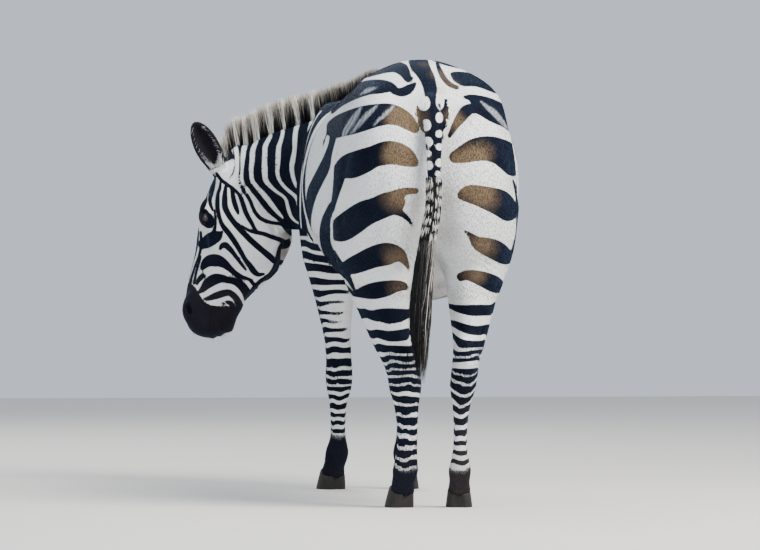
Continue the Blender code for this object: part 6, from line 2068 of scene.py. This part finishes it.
def grow_tail(n=2700):
    rng = np.random.default_rng(5)
    axis = spline([(0.008, 0.164, 1.073, 0.026), (0.009, 0.187, 0.929, 0.019), (0.014, 0.190, 0.857, 0.019), (0.027, 0.187, 0.785, 0.023),
                   (0.039, 0.179, 0.678, 0.029), (0.046, 0.173, 0.600, 0.031), (0.048, 0.167, 0.536, 0.029), (0.046, 0.160, 0.455, 0.021),
                   (0.044, 0.154, 0.370, 0.009)], 6)
    zs = axis[::-1, 2]

    def at(z):
        return np.stack([np.interp(z, zs, axis[::-1, i]) for i in range(4)], -1)
    start = 0.955 - 0.26 * rng.random(n) ** 0.9
    ang = rng.uniform(0, 2 * pi, n)
    frac = np.sqrt(rng.random(n))
    end = np.where(rng.random(n) < 0.55, rng.normal(0.45, 0.055, n), rng.uniform(0.50, 0.80, n))
    end = np.clip(end, 0.362, 0.84)
    end = np.minimum(end, start - 0.07)
    k = 9
    q = np.linspace(0, 1, k)
    z = start[:, None] + (end - start)[:, None] * q[None]
    A = at(z)
    skin_r = np.interp(start, (0.70, 0.785, 0.857, 0.929, 1.07), (0.006, 0.010, 0.013, 0.017, 0.022))[:, None]
    r = np.minimum(A[..., 3] * (0.10 + 0.92 * frac[:, None]), 0.040)
    r = skin_r * (1 - np.clip(q / 0.3, 0, 1)) + r * np.clip(q / 0.3, 0, 1)
    drift = ang[:, None] + rng.normal(0, 0.30, n)[:, None] * q[None] + 0.10 * np.sin(q[None] * 6 + ang[:, None] * 3)
    P = np.stack([A[..., 0] + r * np.cos(drift), A[..., 1] + r * np.sin(drift) * 0.85, z], -1)
    P += rng.normal(0, 0.0016, (n, 1, 3)) * q[None, :, None] + np.stack([0.0022 * np.sin(z * 55 + ang[:, None] * 4), 0 * z, 0 * z], -1) * q[None, :, None]
    w = rng.uniform(0.0012, 0.0024, n)[:, None] * np.interp(q, (0, 0.15, 0.7, 1), (0.8, 1, 0.7, 0.15))[None]
    # paler hairs on the right and above, darker on the left and below
    right = -np.cos(ang)
    pale = 0.27 + 0.31 * right + 0.36 * np.clip((end - 0.45) / 0.30, -0.3, 1) + rng.normal(0, 0.22, n) + 0.14 * (start > 0.80)
    shade = np.clip(rng.normal(1.0, 0.18, n), 0.5, 1.6)
    uvs = np.zeros((n, 2))
    for i in range(n):
        hit = BVH.find_nearest(Vector(P[i, 0]))
        uvs[i] = SKIN_UV[hit[2]].mean(0)
    # short hairs over the end of the dock carry the pale spots down to where the long ones hang free
    m = 900
    z0 = rng.uniform(0.790, 0.968, m)
    turn = rng.uniform(0, 2 * pi, m)
    z = z0[:, None] - rng.uniform(0.014, 0.021, m)[:, None] * q[None]
    A = at(z)
    r = np.minimum(A[..., 3] + 0.004, 0.024) * (0.97 + 0.06 * q[None])
    S2 = np.stack([A[..., 0] + r * np.cos(turn)[:, None], A[..., 1] + r * np.sin(turn)[:, None] * 0.9, z], -1)
    beat = (0.968 - z0) / 0.034 + np.where(np.cos(turn) > 0, 0.0, 0.45) + rng.normal(0, 0.05, m)
    spot = (np.abs(beat % 1 - 0.5) < 0.25) & (np.abs(np.cos(turn)) > 0.15)
    P, w = np.concatenate([P, S2]), np.concatenate([w, rng.uniform(0.0026, 0.0042, m)[:, None] * np.interp(q, (0, 0.15, 0.7, 1), (0.7, 1, 0.7, 0.2))[None]])
    pale = np.r_[pale, np.where(spot, 1.1, 0.1) + rng.normal(0, 0.10, m)]
    shade = np.r_[shade, np.clip(rng.normal(1.0, 0.12, m), 0.6, 1.4)]
    uvs = np.concatenate([uvs, np.array([SKIN_UV[BVH.find_nearest(Vector(p))[2]].mean(0) for p in S2[:, 0]])])
    ob = strands('tail_hair', P, w, uvs, {'mix': pale, 'shade': shade}, TAIL_MAT, rng=rng)
    coat_ride(ob, 'tail_hair', 'tail_tuft')
    say('tail', len(ob.data.polygons))


grow_tail()


# ---------------------------------------------------------------- ears, lips and lids

def simple_hair(name, rows, mat_ink, slot='coat', k=4):
    """rows: (point, direction, length, width, ink, shade)"""
    rng = np.random.default_rng(len(rows))
    n = len(rows)
    P = np.array([r[0] for r in rows])
    D = unit(np.array([r[1] for r in rows]))
    L = np.array([r[2] for r in rows])
    W = np.array([r[3] for r in rows])
    q = np.linspace(0, 1, k)
    droop = rng.normal(0, 0.10, (n, 3)) + np.array((0, 0, -0.10))
    paths = P[:, None] + (D[:, None] * q[None, :, None] + droop[:, None] * (q ** 2)[None, :, None]) * L[:, None, None]
    widths = W[:, None] * np.interp(q, (0, 0.6, 1), (1, 0.7, 0.2))[None]
    uvs = np.array([on_skin(p)[2] for p in P])
    ink = np.array([r[4] for r in rows])
    shade = np.array([r[5] for r in rows])
    z = np.zeros(n)
    ob = strands(name, paths, widths, uvs, {'ink': ink, 'shade': shade, 'brown': z + 0.2, 'grey': z, 'streak': z}, mat_ink, rng=rng)
    coat_ride(ob, slot)
    return ob


def grow_face():
    rng = np.random.default_rng(11)
    rows = []
    for sd in (1, -1):
        base, tip, e, n, across = ear_frame(sd)
        length = np.linalg.norm(tip - base)
        for _ in range(520):
            t = rng.uniform(0.10, 0.88)
            edge = rng.choice((-1, 1))
            p = base + e * length * t + across * edge * rng.uniform(0.018, 0.030) * (1 - 0.45 * abs(t - 0.5)) + n * rng.uniform(0.012, 0.024)
            q, nn, uv, seen = on_skin(p)
            d = e * rng.uniform(0.4, 1.0) - across * edge * rng.uniform(0.5, 1.0) + n * rng.uniform(0.0, 0.3)
            pale = rng.random() < (0.40 if t < 0.35 else 0.12)
            rows.append((q, d, rng.uniform(0.008, 0.016), rng.uniform(0.0006, 0.0012), 0.02 if pale else -0.02, rng.uniform(0.6, 1.0)))
        for _ in range(260):            # pale fluff at the mouth of the ear
            p = base + e * rng.uniform(0.0, 0.045) + across * rng.uniform(-0.024, 0.024) + n * rng.uniform(0.010, 0.026)
            q, nn, uv, seen = on_skin(p)
            rows.append((q, e * 0.7 + n * 0.25 + rng.normal(0, 0.2, 3), rng.uniform(0.012, 0.024), rng.uniform(0.0007, 0.0013), 0.02, rng.uniform(0.7, 1.0)))
    simple_hair('ear_hair', rows, TUFT_MAT)
    rows = []
    for _ in range(130):                # whiskers of the lips and the chin
        m, s = rng.uniform(0.50, 0.575), rng.choice((-1, 1)) * rng.uniform(0.010, 0.045)
        f = rng.choice((-0.13, -0.10, -0.05))
        q, nn, uv, seen = on_skin(hd(m, f, s * 1.2))
        rows.append((q, nn + M * 0.5 + rng.normal(0, 0.2, 3), rng.uniform(0.010, 0.026), 0.0006, -0.02, 1.0))
    simple_hair('whiskers', rows, TUFT_MAT)
    rows = []
    line, up = unit(EYE_LINE), unit(np.cross(S, EYE_LINE))
    if up @ F < 0:
        up = -up
    for sd in (1, -1):
        for i in range(46):
            a = -0.018 + 0.036 * i / 45
            p = hd(EYE_AT[0], EYE_AT[1] - 0.001, sd * (EYE_AT[2] + EYE_RADIUS - 0.002)) + line * a + up * (0.0105 - 0.010 * (a / 0.018) ** 2)
            q, nn, uv, seen = on_skin(p)
            rows.append((q, S * sd * 1.0 + up * 0.2 + line * a * 22 + np.array((0, 0, -0.35)), rng.uniform(0.010, 0.016), 0.0008, -0.02, 1.0))
    simple_hair('lashes', rows, TUFT_MAT)
    say('face hair')


grow_face()


# ---------------------------------------------------------------- eyes and hooves

def eye_material():
    m, nt, b = new_material('eye')
    net = Net(nt)
    rim = net.attr('rim')
    col = net.mix(net.band(rim, 0.28, 0.40), (0.0010, 0.0010, 0.0014), (0.010, 0.006, 0.004))
    col = net.mix(net.band(rim, 0.70, 0.86), col, (0.006, 0.005, 0.005))
    nt.links.new(col, b.inputs['Base Color'])
    b.inputs['Roughness'].default_value = 0.10
    b.inputs['Specular IOR Level'].default_value = 0.4
    b.inputs['Coat Weight'].default_value = 0.5
    b.inputs['Coat Roughness'].default_value = 0.03
    return m


def horn_material():
    m, nt, b = new_material('hoof_horn')
    net = Net(nt)
    vec = net.coord()
    n = net.noise(net.mapping(vec, (1, 1, 0.12)), 160, 3, 0.6)
    col = net.mix(n, (0.009, 0.008, 0.008), (0.030, 0.027, 0.024))
    dust = net.noise(vec, 26, 3, 0.6)
    col = net.mix(net.math('MULTIPLY', net.band(dust, 0.50, 0.80), 0.22), col, (0.10, 0.085, 0.070))
    nt.links.new(col, b.inputs['Base Color'])
    b.inputs['Roughness'].default_value = 0.60
    b.inputs['Specular IOR Level'].default_value = 0.2
    return m


EYE_MAT, HORN_MAT = eye_material(), horn_material()


def make_eye(sd, name, node):
    c = hd(*EYE_AT[:2], sd * EYE_AT[2])
    line, up = unit(EYE_LINE), unit(np.cross(S, EYE_LINE))
    nu, nv = 56, 28
    verts, rims = [], []
    for j in range(nv + 1):
        th = pi * j / nv                        # 0 looking out
        for i in range(nu):
            a = 2 * pi * i / nu
            # the clear front bulges a little beyond the ball
            r = EYE_RADIUS * (1 + 0.035 * np.clip(1 - th / 0.75, 0, 1) ** 0.7) * 0.995
            d = sd * S * cos(th) + sin(th) * (line * cos(a) + up * sin(a))
            verts.append(c + d * r)
            rims.append(np.hypot(sin(th) * cos(a) / 0.95, sin(th) * sin(a) / 0.62) * 0.62 if th < 1.57 else 1.0)
    faces = []
    for j in range(nv):
        for i in range(nu):
            p, q = j * nu + i, j * nu + (i + 1) % nu
            faces.append((p, p + nu, q + nu, q))
    ob = piece(name, np.array(verts) + SHIFT, faces)
    bm = bmesh.new()
    bm.from_mesh(ob.data)
    bmesh.ops.remove_doubles(bm, verts=bm.verts, dist=1e-6)
    bmesh.ops.recalc_face_normals(bm, faces=bm.faces)
    bm.to_mesh(ob.data)
    bm.free()
    co = np.array([v.co[:] for v in ob.data.vertices]) - SHIFT - c
    out = co @ (sd * S) / EYE_RADIUS
    rim = np.where(out > 0, np.hypot(co @ line / 0.95, co @ up / 0.70) / EYE_RADIUS, 1.0)
    give(ob.data, 'rim', rim)
    ob.data.shade_smooth()
    ob.data.materials.append(EYE_MAT)
    coat_ride(ob, 'eye', node)


make_eye(1, 'eyeball_left', 'eye_left')
make_eye(-1, 'eyeball_right', 'eye_right')


def make_hoof(foot, nu=72, nz=26):
    c, toe, w = FEET[foot]
    c, toe = np.array(c), np.array(toe)
    side = np.cross(toe, (0, 0, 1.0))
    verts = []
    for j in range(nz + 1):
        t = j / nz
        ripple = 1 + 0.0055 * sin(t * 34) * min(1, t * 8) * min(1, (1 - t) * 8)
        for i in range(nu):
            a = 2 * pi * i / nu
            u = w * (1 - 0.17 * t) * np.sign(cos(a)) * abs(cos(a)) ** 0.85
            v = sin(a)
            v = (v * 0.052 if v > 0 else -abs(v) ** 0.75 * 0.046) * (1 - 0.20 * t)
            u, v = u * ripple, v * ripple
            if sin(a) < 0:
                v += 0.010 * max(0.0, 1 - abs(cos(a)) * 2.4)
            v -= 0.016 * t
            top = HOOF_TOP + HOOF_SLOPE * v - 0.001
            if t < 0.06:
                k = 0.97 + 0.5 * t
                u, v = u * k, v * k
            verts.append(c + side * u + toe * v + np.array((0, 0, t * top)))
    faces = []
    for j in range(nz):
        for i in range(nu):
            p, q = j * nu + i, j * nu + (i + 1) % nu
            faces.append((p, q, q + nu, p + nu))
    bm = bmesh.new()
    vs = [bm.verts.new(v + SHIFT) for v in verts]
    for f in faces:
        bm.faces.new([vs[i] for i in f])
    bm.faces.new(vs[:nu][::-1])
    bm.faces.new(vs[-nu:])
    bmesh.ops.recalc_face_normals(bm, faces=bm.faces)
    bmesh.ops.triangulate(bm, faces=[f for f in bm.faces if len(f.verts) > 4])
    me = bpy.data.meshes.new('horn_' + foot)
    bm.to_mesh(me)
    bm.free()
    me.shade_smooth()
    ob = bpy.data.objects.new('horn_' + foot, me)
    bpy.context.scene.collection.objects.link(ob)
    me.materials.append(HORN_MAT)
    coat_ride(ob, 'hoof_horn', 'hoof_' + foot)


for foot in FEET:
    make_hoof(foot)
say('eyes and hooves')


# ---------------------------------------------------------------- floor, light and camera

bpy.ops.mesh.primitive_plane_add(size=16, location=(0, 0, 0))
floor = bpy.context.object
floor.name = 'floor'
fm, fnt, fb = new_material('floor')
fb.inputs['Base Color'].default_value = (0.60, 0.585, 0.56, 1)
fb.inputs['Roughness'].default_value = 0.85
floor.data.materials.append(fm)

world = bpy.data.worlds.new('world')
bpy.context.scene.world = world
world.use_nodes = True
world.node_tree.nodes['Background'].inputs[0].default_value = (0.79, 0.865, 0.98, 1)
world.node_tree.nodes['Background'].inputs[1].default_value = 0.85


def lamp(name, place, aim, size, energy, colour):
    data = bpy.data.lights.new(name, 'AREA')
    data.energy, data.size, data.color = energy, size, colour
    ob = bpy.data.objects.new(name, data)
    bpy.context.scene.collection.objects.link(ob)
    ob.location = place
    ob.rotation_euler = (Vector(aim) - Vector(place)).to_track_quat('-Z', 'Y').to_euler()
    return ob


lamp('key', (-2.6, 3.0, 4.6), (0, 0, 0.8), 2.6, 720, (1.0, 0.965, 0.90))
lamp('fill', (3.2, 4.2, 2.2), (0, 0, 0.7), 3.5, 110, (0.85, 0.92, 1.0))
lamp('rim', (1.5, -4.0, 3.6), (0, 0, 0.9), 3.0, 160, (1.0, 0.97, 0.92))

cam = bpy.data.cameras.new('camera')
cam.sensor_width = 36
cam.lens = 8256 / 760 * 36
cam.clip_end = 200
camera = bpy.data.objects.new('camera', cam)
bpy.context.scene.collection.objects.link(camera)
camera.location = VIEWPOINT + SHIFT
pitch, yaw = radians(1.264), radians(0.357)
look = AWAY * cos(pitch) * cos(yaw) + LEFTWARD * sin(yaw) * cos(pitch) - np.array((0, 0, sin(pitch)))
camera.rotation_euler = Vector(look).to_track_quat('-Z', 'Y').to_euler()
bpy.context.scene.camera = camera
